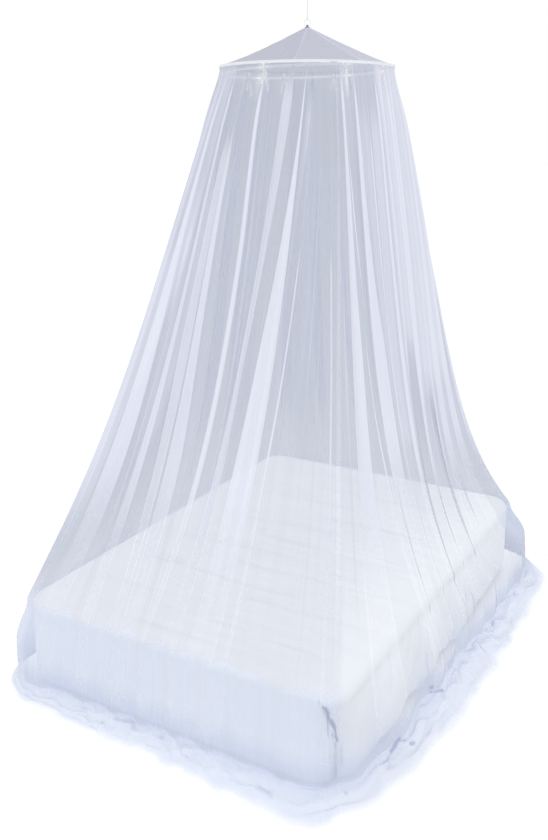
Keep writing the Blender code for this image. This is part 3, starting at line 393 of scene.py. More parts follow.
# Where the net changes: starts and lengths on its way down, and along the cloth for the right side.
NEAR_BED = (0.70, 0.28)
NEAR_SIDE = (0.56, 0.26)
PAST_EDGE = (0.9, 0.15)
BELOW_EDGE = (1.02, 0.20)
FLOOR_WAY = 1.15
SIDE_BEGINS = (8.95, 0.12)
SIDE_ENDS = (17.1, 0.3)
PRESSED_FLAT = 0.96
THICKENING = 2.6
LEAST_AND_MOST = (0.02, 0.95)

# Lengths of a unit of cloth coordinates, of the fall beside the bed and of the way on the floor.
COLUMN_METRES = 0.15
SIDE_METRES = 1.24
FLOOR_METRES = 0.13

Tuck = namedtuple("Tuck", "low_deg high_deg low_z high_z width_deg depth")
# Tucks in the cover's right side and front corner, drawn in and painted with shade: azimuths at their lower
# and upper ends.
TUCKS = (
    Tuck(-54.9, -54.6, 0.040, 0.200, 0.35, 0.010),
    Tuck(-54.7, -57.6, 0.200, 0.350, 0.55, 0.014),
    Tuck(-42.6, -40.6, -0.020, 0.075, 2.00, 0.030),
    Tuck(-37.0, -36.2, -0.020, 0.060, 0.70, 0.020),
    Tuck(-16.0, -18.6, -0.020, 0.070, 1.10, 0.026),
    Tuck(-3.4, -2.0, -0.020, 0.050, 0.60, 0.016),
    Tuck(6.6, 6.0, -0.020, 0.070, 0.80, 0.024),
    Tuck(17.4, 16.4, 0.010, 0.230, 0.45, 0.020),
    Tuck(24.7, 23.0, -0.020, 0.070, 0.90, 0.022),
    Tuck(36.0, 34.0, -0.020, 0.060, 0.90, 0.020),
)

# What is known at each point of a width of net, and how far the point lies in each kind of zone.
Cloth = namedtuple("Cloth", "column fall level out way")
# The corner zone marks painted shade round the bed's back right corner.
# The gaps zone marks painted shade in the gaps beside the bed.
Zones = namedtuple("Zones", "near_bed over_side turned beside lying corner lapped stitched strokes gaps")
Panel = namedtuple("Panel", "name node first last pleats threads held_length cut_width area")
# The four widths of the wall: their edges in cloth coordinates, threads per unit, and the cut.
PANELS = (
    Panel("Net_Wall_Foot", "net_wall_foot", -0.5, 9.0, FOOT_PLEATS, 30, 2.48, 2.9, 5.6),
    Panel("Net_Wall_Right", "net_wall_right", 8.5, 18.5, RIGHT_PLEATS, 28, 2.55, 3.5, 6.8),
    Panel("Net_Wall_Head", "net_wall_head", 18.5, 24.5, HEAD_PLEATS, 26, 2.50, 2.3, 4.5),
    Panel("Net_Wall_Left", "net_wall_left", 24.5, 31.5, LEFT_PLEATS, 26, 2.48, 2.7, 5.1),
)

Tie = namedtuple("Tie", "name azimuth_deg first_mm second_mm splay_mm curl_mm parted")
TIES = (
    Tie("tie_1", -90.0, 46, 72, 26, 7, 0.84),
    Tie("tie_2", -37.5, 60, 98, 22, 5, 0.84),
    Tie("tie_3", -7.5, 72, 66, 20, 4, 0.80),
    Tie("tie_4", 45.0, 58, 70, 24, 6, 0.30),
    Tie("tie_5", 97.5, 50, 44, 18, 8, 0.15),
    Tie("tie_6", 135.0, 34, 52, 22, 9, 0.15),
    Tie("tie_7", 165.0, 62, 40, 20, 6, 0.25),
    Tie("tie_8", 225.0, 56, 74, 24, 5, 0.80),
)

TAB_RADIUS = 0.0092
TabPoint = namedtuple("TabPoint", "radius lift")
# The patch sewn over the roof's tip: its outline from the eye, over its rim and back underneath.
TAB_PROFILE = (
    TabPoint(0.0013, 0.0034),
    TabPoint(0.003, 0.0026),
    TabPoint(0.0055, 0.0018),
    TabPoint(0.0074, 0.0015),
    TabPoint(0.0079, 0.0012),
    TabPoint(0.0085, 0.0016),
    TabPoint(TAB_RADIUS, 0.0011),
    TabPoint(TAB_RADIUS, 0.0004),
    TabPoint(0.005, 0.0004),
    TabPoint(0.0013, 0.0012),
)

Crease = namedtuple("Crease", "y x_from x_to slant depth width")
# The main creases across the top of the bed cover, in metres.
CREASES = (
    Crease(-0.88, -0.52, 0.40, 0.03, 0.0044, 0.014),
    Crease(-0.76, -0.30, 0.60, -0.04, 0.0040, 0.012),
    Crease(-0.66, -0.60, 0.10, 0.02, 0.0044, 0.016),
    Crease(-0.55, -0.10, 0.62, 0.05, 0.0038, 0.012),
    Crease(-0.45, -0.58, 0.34, -0.03, 0.0046, 0.018),
    Crease(-0.30, -0.20, 0.60, 0.02, 0.0040, 0.014),
    Crease(-0.18, -0.60, 0.20, 0.04, 0.0042, 0.014),
    Crease(-0.04, -0.30, 0.58, -0.03, 0.0044, 0.016),
    Crease(0.12, -0.55, 0.30, 0.02, 0.0040, 0.014),
    Crease(0.27, -0.10, 0.60, 0.03, 0.0044, 0.016),
    Crease(0.42, -0.58, 0.22, -0.02, 0.0040, 0.012),
    Crease(0.60, -0.30, 0.55, 0.03, 0.0044, 0.018),
    Crease(0.78, -0.50, 0.40, -0.02, 0.0040, 0.014),
)


# ---------------------------------------------------------------- settings a user would change

def colour_setting(name, description, default):
    """A colour property."""
    return bpy.props.FloatVectorProperty(
        name=name, description=description, default=default, size=3, min=0.0, max=1.0, subtype="COLOR")


def length_setting(name, description, default):
    """A length property in metres."""
    return bpy.props.FloatProperty(name=name, description=description, default=default, min=0.0,
                                   unit="LENGTH", subtype="DISTANCE", precision=4)


def share_setting(name, description, default):
    """A property from nothing to all."""
    return bpy.props.FloatProperty(name=name, description=description, default=default, min=0.0, max=1.0,
                                   subtype="FACTOR")


class NetSettings(bpy.types.PropertyGroup):
    """Sizes and colours of the net and what it hangs on."""

    # Painted shade: the open net is the white net drawn grey-blue, as it looks in shade against the bright
    # backdrop.
    thin_shaded: colour_setting("Thin net", "Colour of a single open layer of net", (0.39, 0.425, 0.525))
    full: colour_setting("Full net", "Colour of net gathered into a fold", (0.785, 0.795, 0.89))
    # Painted light and shade: the net below the bed's edge is drawn lighter than the open net, for light off
    # the bright bed, and bluer and greyer than white net, for the shade beside the bed.
    beside: colour_setting("Net beside the bed", "Colour of the net below its edge", (0.57, 0.635, 0.80))
    # Painted shade: the colour that the net's creases, gaps, floor pile and shaded parts darken towards.
    hollow: colour_setting("Hollows", "Colour in the hollows of the bunched net", (0.35, 0.40, 0.54))
    # Painted shade: the roof net is drawn darker than the open net of the walls, to take off the light that
    # falls on it from above.
    roof: colour_setting("Roof net", "Colour of the net stretched over the roof", (0.355, 0.360, 0.46))
    seam: colour_setting("Roof seams", "Colour of the roof's felled seams", (0.60, 0.605, 0.71))
    tape: colour_setting("Tape", "Colour of the seam tape and the ribbons", (0.93, 0.935, 0.96))
    webbing: colour_setting("Webbing", "Colour of the tab at the tip", (0.25, 0.22, 0.40))
    top_cover: share_setting("Cover at the hoop", "How much of the light one layer stops at the hoop", 0.54)
    edge_cover: share_setting("Cover at the bed", "How much of the light one layer stops at the bed", 0.40)
    ripple: length_setting("Ripple", "Height of the small ripples between the folds", 0.0045)


class BedSettings(bpy.types.PropertyGroup):
    """Sizes and colours of the bed."""

    linen: colour_setting("Linen", "Colour of the bed cover", (0.92, 0.925, 0.945))
    # Painted shade: the colour deep in the cover's tucks, laid faintly into the creases on its top too.
    tuck: colour_setting("Tucks", "Colour deep in the tucks of the bed cover", (0.16, 0.17, 0.22))
    ticking: colour_setting("Ticking", "Colour of the mattress", (0.82, 0.82, 0.84))
    divan: colour_setting("Divan cloth", "Colour of the bed's base", (0.72, 0.73, 0.76))
    crease: length_setting("Crease", "Height of the small creases in the cover", 0.0030)


class StudioSettings(bpy.types.PropertyGroup):
    """The studio round the bed."""

    floor: colour_setting("Floor", "Colour of the floor", (0.56, 0.57, 0.58))
    ambient: bpy.props.FloatProperty(name="Ambient", description="Strength of the light from all round",
                                     default=0.80, min=0.0)
    key: bpy.props.FloatProperty(name="Key", description="Strength of the broad light from overhead",
                                 default=1.26, min=0.0)


# ---------------------------------------------------------------- small helpers

# Large odd numbers that scatter whole-numbered places evenly.
SCATTER = (374761393, 668265263, 2246822519, 1274126177)


def smooth_step(value):
    """Ease from 0 to 1."""
    eased = np.clip(value, 0.0, 1.0)
    return eased * eased * (3.0 - 2.0 * eased)


def ease_in(value, start, length):
    """Ease from 0 at a start to 1 a length further on."""
    return smooth_step((value - start) / length)


def lattice(across, along, seed):
    """A repeatable number from 0 to 1 for each whole-numbered place."""
    mixed = (across.astype(np.int64) * SCATTER[0] + along.astype(np.int64) * SCATTER[1]
             + seed * SCATTER[2]) & 0xFFFFFFFF
    mixed = ((mixed ^ (mixed >> 13)) * SCATTER[3]) & 0xFFFFFFFF
    return ((mixed ^ (mixed >> 16)) & 0xFFFF) / 65535.0


def noise(across, along, seed):
    """Smooth noise from 0 to 1 over two coordinates."""
    across, along = np.broadcast_arrays(np.asarray(across, float), np.asarray(along, float))
    low_a = np.floor(across)
    low_b = np.floor(along)
    share_a = smooth_step(across - low_a)
    share_b = smooth_step(along - low_b)
    first = lattice(low_a, low_b, seed) * (1 - share_a) + lattice(low_a + 1, low_b, seed) * share_a
    second = lattice(low_a, low_b + 1, seed) * (1 - share_a) + lattice(low_a + 1, low_b + 1, seed) * share_a
    return first * (1 - share_b) + second * share_b


def ridged(across, along, seed):
    """Noise with narrow crests, from 0 to 1."""
    return 1.0 - np.abs(2.0 * noise(across, along, seed) - 1.0)


def round_table(angle, table, column):
    """Read one column of a table of places round the bed, eased between its rows."""
    places = np.radians([row.azimuth_deg for row in table])
    values = np.array([getattr(row, column) for row in table])
    places = np.append(places, places[0] + 2.0 * math.pi)
    values = np.append(values, values[0])
    turned = places[0] + np.mod(np.asarray(angle) - places[0], 2.0 * math.pi)
    after = np.clip(np.searchsorted(places, turned, side="right"), 1, len(places) - 1)
    share = (turned - places[after - 1]) / (places[after] - places[after - 1])
    return values[after - 1] + (values[after] - values[after - 1]) * smooth_step(share)


def bed_reach(angle, grow):
    """Distance from the bed's middle to its rounded outline grown by a margin."""
    corner = BED_CORNER + grow
    middle_x = HALF_WIDTH - BED_CORNER
    middle_y = HALF_LENGTH - BED_CORNER
    along_x = np.maximum(np.abs(np.cos(angle)), 1e-9)
    along_y = np.maximum(np.abs(np.sin(angle)), 1e-9)
    flat = np.minimum((HALF_WIDTH + grow) / along_x, (HALF_LENGTH + grow) / along_y)
    in_corner = (flat * along_x > middle_x) & (flat * along_y > middle_y)
    reach = along_x * middle_x + along_y * middle_y
    left_over = reach * reach - (middle_x * middle_x + middle_y * middle_y - corner * corner)
    return np.where(in_corner, reach + np.sqrt(np.maximum(left_over, 0.0)), flat)


def outline_azimuths(corner_steps, side_steps):
    """Azimuths of points round the bed's outline: even round each corner and along each side."""
    middle = np.array([HALF_WIDTH - BED_CORNER, HALF_LENGTH - BED_CORNER])
    points = []
    for quarter, across in enumerate(((1, -1), (1, 1), (-1, 1), (-1, -1))):
        turns = math.pi / 2.0 * (quarter - 1.0 + np.arange(corner_steps + 1) / corner_steps)
        arc = middle * across + BED_CORNER * np.stack([np.cos(turns), np.sin(turns)], axis=1)
        following = middle * ((1, 1), (-1, 1), (-1, -1), (1, -1))[quarter]
        following = following + BED_CORNER * np.array([math.cos(turns[-1]), math.sin(turns[-1])])
        shares = np.arange(1, side_steps[quarter])[:, None] / side_steps[quarter]
        points.extend(arc)
        points.extend(arc[-1] + (following - arc[-1]) * shares)
    points = np.array(points)
    return np.arctan2(points[:, 1], points[:, 0])


def cover_grow(angle, level):
    """How far the bed cover stands out from the bed's outline at a height beside the bed."""
    bulge = round_table(angle, DRAPES, "bulge")
    foot = round_table(angle, DRAPES, "foot_out")
    hem = round_table(angle, DRAPES, "hem_z")
    down = np.clip((COVER_SHOULDER - level) / (COVER_SHOULDER - hem), 0.0, 1.0)
    return bulge * np.sin(math.pi * down) + foot * down


def roof_height(radius):
    """Height of the roof's outer face at a distance from its axis."""
    inward = np.clip(1.0 - np.asarray(radius) / SEAM_RADIUS, 0.0, 1.0)
    return SEAM_Z + GORE_LIP + SEAM_GAP + ROOF_RISE * inward ** ROOF_SAG_POWER


def hoop_height(angle):
    """Height of the hoop's middle line."""
    return SEAM_Z - HOOP_DROP - HOOP_TILT * np.cos(angle - math.radians(HOOP_LOW_SIDE_DEG))


def around_axis(reach, angle, height):
    """A point round the line the net hangs on."""
    return (HANG_X + reach * math.cos(angle), HANG_Y + reach * math.sin(angle), height)


# ---------------------------------------------------------------- mesh building

def add_object(name, data):
    """Link one object to the scene."""
    made = bpy.data.objects.new(name, data)
    bpy.context.scene.collection.objects.link(made)
    return made


def add_shape(name, shape, finish):
    """Link a bmesh as an object with a finish."""
    mesh = bpy.data.meshes.new(name)
    shape.to_mesh(mesh)
    shape.free()
    mesh.materials.append(finish)
    return add_object(name, mesh)


def add_mesh(name, points, faces, finish):
    """Link one smooth mesh, ride it on the body and give it its finish."""
    mesh = bpy.data.meshes.new(name)
    mesh.from_pydata([tuple(map(float, point)) for point in points], [], faces)
    mesh.validate()
    mesh.shade_smooth()
    mesh.materials.append(finish)
    made = add_object(name, mesh)
    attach(made, BODY)
    return made


def circle(count):
    """Even angles round a circle."""
    return [2.0 * math.pi * step / count for step in range(count)]


def grid_faces(rows, columns, closed=False):
    """Quads of a grid of points, rows by columns; closed joins the last column to the first."""
    row = np.arange(rows - 1)[:, None] * columns
    column = np.arange(columns if closed else columns - 1)[None, :]
    after = (column + 1) % columns
    quads = np.stack([row + column, row + after, row + columns + after, row + columns + column], axis=2)
    return [tuple(int(place) for place in quad) for quad in quads.reshape(-1, 4)]


def put_layer(made, name, values):
    """Store one number for each point of a mesh."""
    layer = made.data.attributes.new(name, "FLOAT", "POINT")
    layer.data.foreach_set("value", np.asarray(values, np.float32).ravel())


def put_uv(made, across, along):
    """Give a mesh one UV map from a pair of numbers for each point."""
    layer = made.data.uv_layers.new(name="cloth")
    corners = np.empty(len(made.data.loops), dtype=np.int32)
    made.data.loops.foreach_get("vertex_index", corners)
    pairs = np.stack([np.ravel(across)[corners], np.ravel(along)[corners]], axis=1)
    layer.data.foreach_set("uv", pairs.astype(np.float32).ravel())


def tube(name, rings, finish, closed=False):
    """A tube through rings of equal length; capped with fans of one face unless it closes."""
    rings = np.array(rings, float)
    count = rings.shape[1]
    points = rings.reshape(-1, 3)
    if closed:
        rings = np.concatenate([rings, rings[:1]])
    faces = []
    total = len(points)
    for turn in range(len(rings) - 1):
        for step in range(count):
            after = (step + 1) % count
            faces.append((turn * count + step, turn * count + after,
                          ((turn + 1) * count + after) % total, ((turn + 1) * count + step) % total))
    if not closed:
        faces.append(tuple(reversed(range(count))))
        faces.append(tuple(range(total - count, total)))
    return add_mesh(name, points, faces, finish)


def let_light_through(made):
    """Fine net stops hardly any light on its way to the bed."""
    made.visible_shadow = False
    made.visible_diffuse = False


def outward(made):
    """Turn a closed mesh's faces outward."""
    shape = bmesh.new()
    shape.from_mesh(made.data)
    bmesh.ops.recalc_face_normals(shape, faces=shape.faces)
    shape.to_mesh(made.data)
    shape.free()
    return made


# ---------------------------------------------------------------- shader maths

class Value:
    """A socket that numbers and other sockets can be added to, multiplied with and so on."""

    def __init__(self, graph, socket):
        self.graph = graph
        self.socket = socket

    def maths(self, operation, *others):
        """One Math node with this value first."""
        inputs = dict(enumerate((self, *others)))
        return self.graph.node("ShaderNodeMath", {"operation": operation}, inputs)[0]

    def __add__(self, other):
        return self.maths("ADD", other)

    __radd__ = __add__

    def __mul__(self, other):
        return self.maths("MULTIPLY", other)

    __rmul__ = __mul__

    def __sub__(self, other):
        return self.maths("SUBTRACT", other)

    def __rsub__(self, other):
        return self.graph.node("ShaderNodeMath", {"operation": "SUBTRACT"}, {0: other, 1: self})[0]

    def clamp(self, low=0.0, high=1.0):
        """Keep the value between two numbers."""
        return self.maths("MAXIMUM", low).maths("MINIMUM", high)


class Graph:
    """A tree of shader nodes that is written as expressions."""

    def __init__(self, tree):
        self.tree = tree

    def node(self, kind, settings=None, inputs=None):
        """Add a node: its settings first, then its sockets; returns its outputs."""
        made = self.tree.nodes.new(kind)
        for key, value in (settings or {}).items():
            setattr(made, key, value)
        for key, value in (inputs or {}).items():
            socket = made.inputs[key]
            if isinstance(value, Value):
                self.tree.links.new(value.socket, socket)
            else:
                socket.default_value = value
        return [Value(self, socket) for socket in made.outputs if socket.enabled]

    def attribute(self, name):
        """A number stored on the mesh."""
        _, _, number, _ = self.node("ShaderNodeAttribute", {"attribute_name": name})
        return number

    def place(self):
        """Where a point is on the object, in metres."""
        _, _, _, place, *_ = self.node("ShaderNodeTexCoord")
        return place

    def cloth(self):
        """Where a point is on the flat cloth."""
        _, _, cloth, *_ = self.node("ShaderNodeTexCoord")
        return cloth

    def stretched(self, where, scale):
        """Coordinates scaled by three numbers."""
        return self.node("ShaderNodeVectorMath", {"operation": "MULTIPLY"}, {0: where, 1: scale})[0]

    def split(self, where):
        """The three numbers of a vector."""
        return self.node("ShaderNodeSeparateXYZ", None, {0: where})

    def grain(self, where, scale, detail=2.0, roughness=0.5):
        """Noise from 0 to 1."""
        return self.node("ShaderNodeTexNoise", {"noise_dimensions": "3D"},
                         {"Vector": where, "Scale": scale, "Detail": detail, "Roughness": roughness})[0]

    def mix(self, factor, first, second):
        """A colour between two colours."""
        def full(colour):
            return colour if isinstance(colour, Value) else (*colour, 1.0)
        return self.node("ShaderNodeMix", {"data_type": "RGBA"},
                         {0: factor, 6: full(first), 7: full(second)})[0]

    def bump(self, height, distance, strength=1.0):
        """Relief from a height in shares of a distance."""
        return self.node("ShaderNodeBump", None,
                         {"Strength": strength, "Distance": distance, "Height": height})[0]


class Finish(Graph):
    """A procedural material: constants on its shader, and expressions linked to it."""

    def __init__(self, name, **constants):
        self.material = bpy.data.materials.new(name)
        self.material.use_nodes = True
        super().__init__(self.material.node_tree)
        self.shader = self.tree.nodes["Principled BSDF"]
        for socket, value in constants.items():
            self.shader.inputs[socket.replace("_", " ")].default_value = value

    def to(self, **links):
        """Link expressions to the shader's sockets."""
        for socket, value in links.items():
            self.tree.links.new(value.socket, self.shader.inputs[socket.replace("_", " ")])
        return self.material


def weave(finish, where, pitch):
    """Height of a plain weave from 0 to 1: threads over and under at a pitch in metres."""
    across, along, up = finish.split(finish.stretched(where, (1.0 / pitch, 1.0 / pitch, 1.0 / pitch)))
    turn = 2.0 * math.pi
    over = (across * turn).maths("SINE") * (along * turn).maths("SINE")
    return over * (up * turn).maths("COSINE") * 0.5 + 0.5


def net_finish(name, thin_shaded, dense, beside=None, shade=None):
    """Fine knitted net: nearly clear where it hangs single and open, white where it is gathered; its open net
    and, on the walls, the net below the bed's edge and in hollows are painted in shade.
    """
    made = Finish(name, Roughness=0.8, Sheen_Weight=0.10, Sheen_Roughness=0.5, Specular_IOR_Level=0.10)
    full = made.attribute("gather")
    cover = made.attribute("cover")
    cloth = made.cloth()
    streaks = made.grain(made.stretched(cloth, (9.0, 1.1, 1.0)), 3.0, 3.0, 0.6)
    fine = made.grain(made.stretched(cloth, (46.0, 1.6, 1.0)), 3.0, 1.0)
    drift = ((streaks - 0.5) * 0.22 + (fine - 0.5) * 0.07) * (1.0 - made.attribute("calm"))
    holes = weave(made, made.place(), 0.0024)
    full_look = (full * 0.95 + drift * 0.45).clamp()
    alpha = (cover * (1.0 + drift) * (0.96 + 0.08 * holes)).clamp(0.01, 0.985)
    # Painted shade: the open net starts from its grey-blue shaded colour.
    colour = thin_shaded
    # Painted light and shade on the net below the bed's edge.
    if beside:
        colour = made.mix(made.attribute("low"), thin_shaded, beside)
    colour = made.mix(full_look, colour, dense)
    # Painted shade: creases, gaps, the floor pile and shaded parts darken towards the colour of the hollows.
    if shade:
        colour = made.mix(made.attribute("hollow"), colour, shade)
    return made.to(Base_Color=colour, Alpha=alpha,
                   Normal=made.bump(holes * 0.5 + fine * 0.5, 0.0003, 0.35))


def tape_finish(settings):
    """Woven cotton tape, with two rows of stitches showing as a fine dotted groove."""
    made = Finish("tape", Roughness=0.85, Sheen_Weight=0.2, Specular_IOR_Level=0.2)
    where = made.place()
    threads = weave(made, where, 0.0011)
    worn = made.grain(where, 60.0, 2.0)
    shade = (threads * 0.45 + worn * 0.55).clamp()
    tint = [channel * 0.86 for channel in settings.tape]
    return made.to(Base_Color=made.mix(shade, tint, settings.tape),
                   Normal=made.bump(threads, 0.0003, 0.6))


def linen_finish(settings):
    """Soft brushed linen with a fine weave, faint uneven tone and painted shade in its tucks and creases."""
    made = Finish("linen", Roughness=0.9, Sheen_Weight=0.25, Sheen_Roughness=0.6, Specular_IOR_Level=0.15)
    where = made.place()
    threads = weave(made, where, 0.0016)
    slubs = made.grain(made.stretched(where, (12.0, 90.0, 12.0)), 2.0, 2.0)
    soft = made.grain(where, 3.5, 3.0, 0.6)
    shade = (0.55 + (soft - 0.5) * 0.5 + (slubs - 0.5) * 0.25 + (threads - 0.5) * 0.10).clamp()
    tint = [channel * factor for channel, factor in zip(settings.linen, (0.93, 0.94, 0.965))]
    colour = made.mix(made.attribute("tucked"), made.mix(shade, tint, settings.linen), settings.tuck)
    return made.to(Base_Color=colour,
                   Normal=made.bump(threads * 0.5 + slubs * 0.5, 0.0005, 0.5))


def cloth_finish(name, colour, pitch, darker=0.86):
    """Plain woven cloth in one colour."""
    made = Finish(name, Roughness=0.9, Sheen_Weight=0.15, Specular_IOR_Level=0.15)
    where = made.place()
    threads = weave(made, where, pitch)
    soft = made.grain(where, 18.0, 3.0)
    tint = [channel * darker for channel in colour]
    return made.to(Base_Color=made.mix((threads * 0.5 + soft * 0.5).clamp(), tint, colour),
                   Normal=made.bump(threads, 0.35 * pitch, 0.7))


def cord_finish(settings):
    """Braided white cord."""
    made = Finish("cord", Roughness=0.8, Specular_IOR_Level=0.25)
    across, along, up = made.split(made.place())
    turn = 2.0 * math.pi
    strands = ((up * (turn / 0.0032) + (across + along) * (turn / 0.0024)).maths("SINE") * 0.5 + 0.5)
    tint = [channel * 0.80 for channel in settings.tape]
    return made.to(Base_Color=made.mix(strands, tint, settings.tape),
                   Normal=made.bump(strands, 0.0004, 0.8))


def plastic_finish(settings):
    """Smooth white moulded plastic with faint wear."""
    made = Finish("hoop_plastic", Roughness=0.4, Specular_IOR_Level=0.45)
    where = made.place()
    soft = made.grain(where, 22.0, 3.0)
    tint = [channel * 0.93 for channel in settings.tape]
    rough = 0.34 + soft * 0.16
    return made.to(Base_Color=made.mix(soft, tint, settings.tape), Roughness=rough)


def metal_finish():
    """White enamelled metal with a slight orange-peel."""
    made = Finish("white_metal", Roughness=0.32, Specular_IOR_Level=0.5, Coat_Roughness=0.15)
    where = made.place()
    soft = made.grain(where, 45.0, 2.0)
    peel = made.grain(where, 900.0, 1.0)
    return made.to(Base_Color=made.mix(soft, (0.80, 0.80, 0.81), (0.90, 0.90, 0.91)),
                   Roughness=0.26 + soft * 0.14, Normal=made.bump(peel, 0.0002, 0.3))


def wear(node, finish):
    """Put a finish on a CAD node's slots."""
    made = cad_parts[node]
    for slot in made.material_slots:
        slot.material = finish


# ---------------------------------------------------------------- the net wall

def fold_value(column, name):
    """One column of the fold table at cloth coordinates, whole numbers being crests."""
    low = np.floor(column).astype(int)
    share = column - low
    count = len(FOLDS)
    table = np.array([getattr(fold, name) for fold in FOLDS], float)
    turn = 360.0 if name.endswith("_deg") else 0.0
    here = table[low % count] + turn * (low // count)
    there = table[(low + 1) % count] + turn * ((low + 1) // count)
    return here + (there - here) * share


def fold_azimuth(column, fall):
    """Azimuth of threads of the cloth at shares of their fall."""
    at_hoop = fold_value(column, "hoop_deg")
    at_edge = fold_value(column, "edge_deg")
    return np.radians(at_hoop + (at_edge - at_hoop) * fall ** fold_value(column, "drift"))


def fold_rise(column, fall):
    """Height of the main relief."""
    crest = np.floor(column + 0.5)
    place = crest.astype(int) % len(FOLDS)
    rows = {name: np.array([getattr(fold, name) for fold in FOLDS])[place]
            for name in ("rise_top", "rise_low", "sharp", "start")}
    wave = (0.5 + 0.5 * np.cos(2.0 * math.pi * (column - crest))) ** rows["sharp"]
    begun = ease_in(fall - rows["start"], BOUND_FALL, 0.10)
    return wave * begun * (rows["rise_top"] + (rows["rise_low"] - rows["rise_top"]) * fall)


def hung_place(column, fall, proud):
    """Points of the net between the hoop and the bed's edge, standing proud of its plain form."""
    azimuth = fold_azimuth(column, fall)
    goal = fold_azimuth(column, np.ones_like(fall))
    straight = round_table(goal, FLARES, "straight")
    curl = round_table(goal, FLARES, "curl")
    freed = np.maximum(fall - BOUND_FALL, 0.0) / (1.0 - BOUND_FALL)
    spread = straight * freed + (1.0 - straight) * freed ** curl
    edge = bed_reach(goal, NET_CLEAR + cover_grow(goal, EDGE_Z))
    reach = SEAM_RADIUS + (edge - SEAM_RADIUS) * spread + BILLOW * np.sin(2.0 * math.pi * freed)
    reach = reach + proud
    shift = 1.0 - fall
    return np.stack([HANG_X * shift + np.cos(azimuth) * reach,
                     HANG_Y * shift + np.sin(azimuth) * reach,
                     SEAM_Z + (EDGE_Z - SEAM_Z) * fall + 0.0 * reach], axis=-1)


def beside_ties(column, fall):
    """Where the gathers part beside each ribbon, from 0 to 1."""
    azimuth = np.degrees(fold_azimuth(column, fall))
    parted = np.zeros_like(column)
    for tie in TIES:
        away = np.mod(azimuth - tie.azimuth_deg + 180.0, 360.0) - 180.0
        parted = np.maximum(parted, tie.parted * np.exp(-(away / 3.6) ** 2))
    return parted * (1.0 - ease_in(fall, 0.036, 0.030))


def floor_folds(column, out):
    """The bunched folds on the floor: how far out, fade, wander, turn and strength, and small ones."""
    lying = np.clip((out - LIES_FROM) / (1.0 - LIES_FROM), 0.0, 1.0)
    fade = np.sin(math.pi * np.clip(lying * 1.02, 0.0, 1.0)) ** 0.6
    wander = 1.6 * noise(column * 1.1, 0.0 * lying, 11) + 0.9 * noise(column * 3.4, lying * 2.2, 12)
    turn = 2.0 * math.pi * (2.8 * lying + wander + 0.07 * column)
    strong = 0.10 + 0.90 * noise(column * 1.9, lying * 3.0, 13) ** 1.3
    small = ridged(column * 4.3 + lying * 2.7, lying * 5.2 + wander, 14)
    return lying, fade, wander, turn, strong, small


def floor_crumple(azimuth, column, out):
    """Bunched folds on the floor: how high they stand, and how far they roll out and back."""
    tall = round_table(azimuth, SPREADS, "crumple")
    lying, fade, wander, turn, strong, small = floor_folds(column, out)
    height = tall * fade * (strong * (0.27 - 0.27 * np.cos(turn)) + 0.24 * small)
    roll = -fade * strong * (0.040 * np.sin(turn) + 0.020 * np.sin(2.0 * turn + 5.0 * wander))
    push = 0.012 * (noise(column * 3.1, lying * 3.0, 15) - 0.5) * lying
    return height, roll, push


def floor_trough_shade(column, out):
    """Painted shade between the bunched folds on the floor: how deep a point lies between them, from 0 to 1.
    """
    _, fade, _, turn, strong, small = floor_folds(column, out)
    between = (0.5 + 0.5 * np.cos(turn)) ** 1.5
    return fade * np.clip(0.75 * strong * between + 0.35 * (0.6 - small), 0.0, 1.0)


def floor_crease_shade(column, out):
    """Painted shade of the narrow creases that run along the foot of the net, broken and uneven, from 0 to 1.
    """
    wander = 1.3 * noise(column * 1.7, 0.0 * out, 51) + 0.5 * noise(column * 5.1, out * 2.0, 52)
    lines = ease_in(ridged(column * 1.2, out * 5.5 + wander, 53), 0.80, 0.16)
    broken = ease_in(noise(column * 3.3, out * 3.0, 54), 0.42, 0.25)
    return lines * broken * ease_in(out, 0.24, 0.08) * (1.0 - ease_in(out, 0.60, 0.30))


def side_place(column, level, out, proud):
    """Points of the net beside the bed and on the floor."""
    azimuth = fold_azimuth(column, np.ones_like(column))
    upper = np.maximum(level, FLOOR_FOLD_Z)
    dropped = smooth_step((EDGE_Z - upper) / (EDGE_Z - BELLY_Z))
    beside = cover_grow(azimuth, upper) + round_table(azimuth, SPREADS, "belly") * dropped + NET_CLEAR
    floor = round_table(azimuth, SPREADS, "reach") + HEM_SPREAD
    height, roll, push = floor_crumple(azimuth, column, out)
    lying = ease_in(out, LIES_FROM, 0.2)
    upright = 1.0 - lying
    spread = np.clip(out + roll * lying, 0.0, 1.0)
    grow = beside + np.maximum(floor - beside, LEAST_SPREAD) * spread
    reach = bed_reach(azimuth, grow + proud * (upright + 0.25 * lying) + push * lying)
    return np.stack([reach * np.cos(azimuth), reach * np.sin(azimuth), level + height * lying], axis=-1)


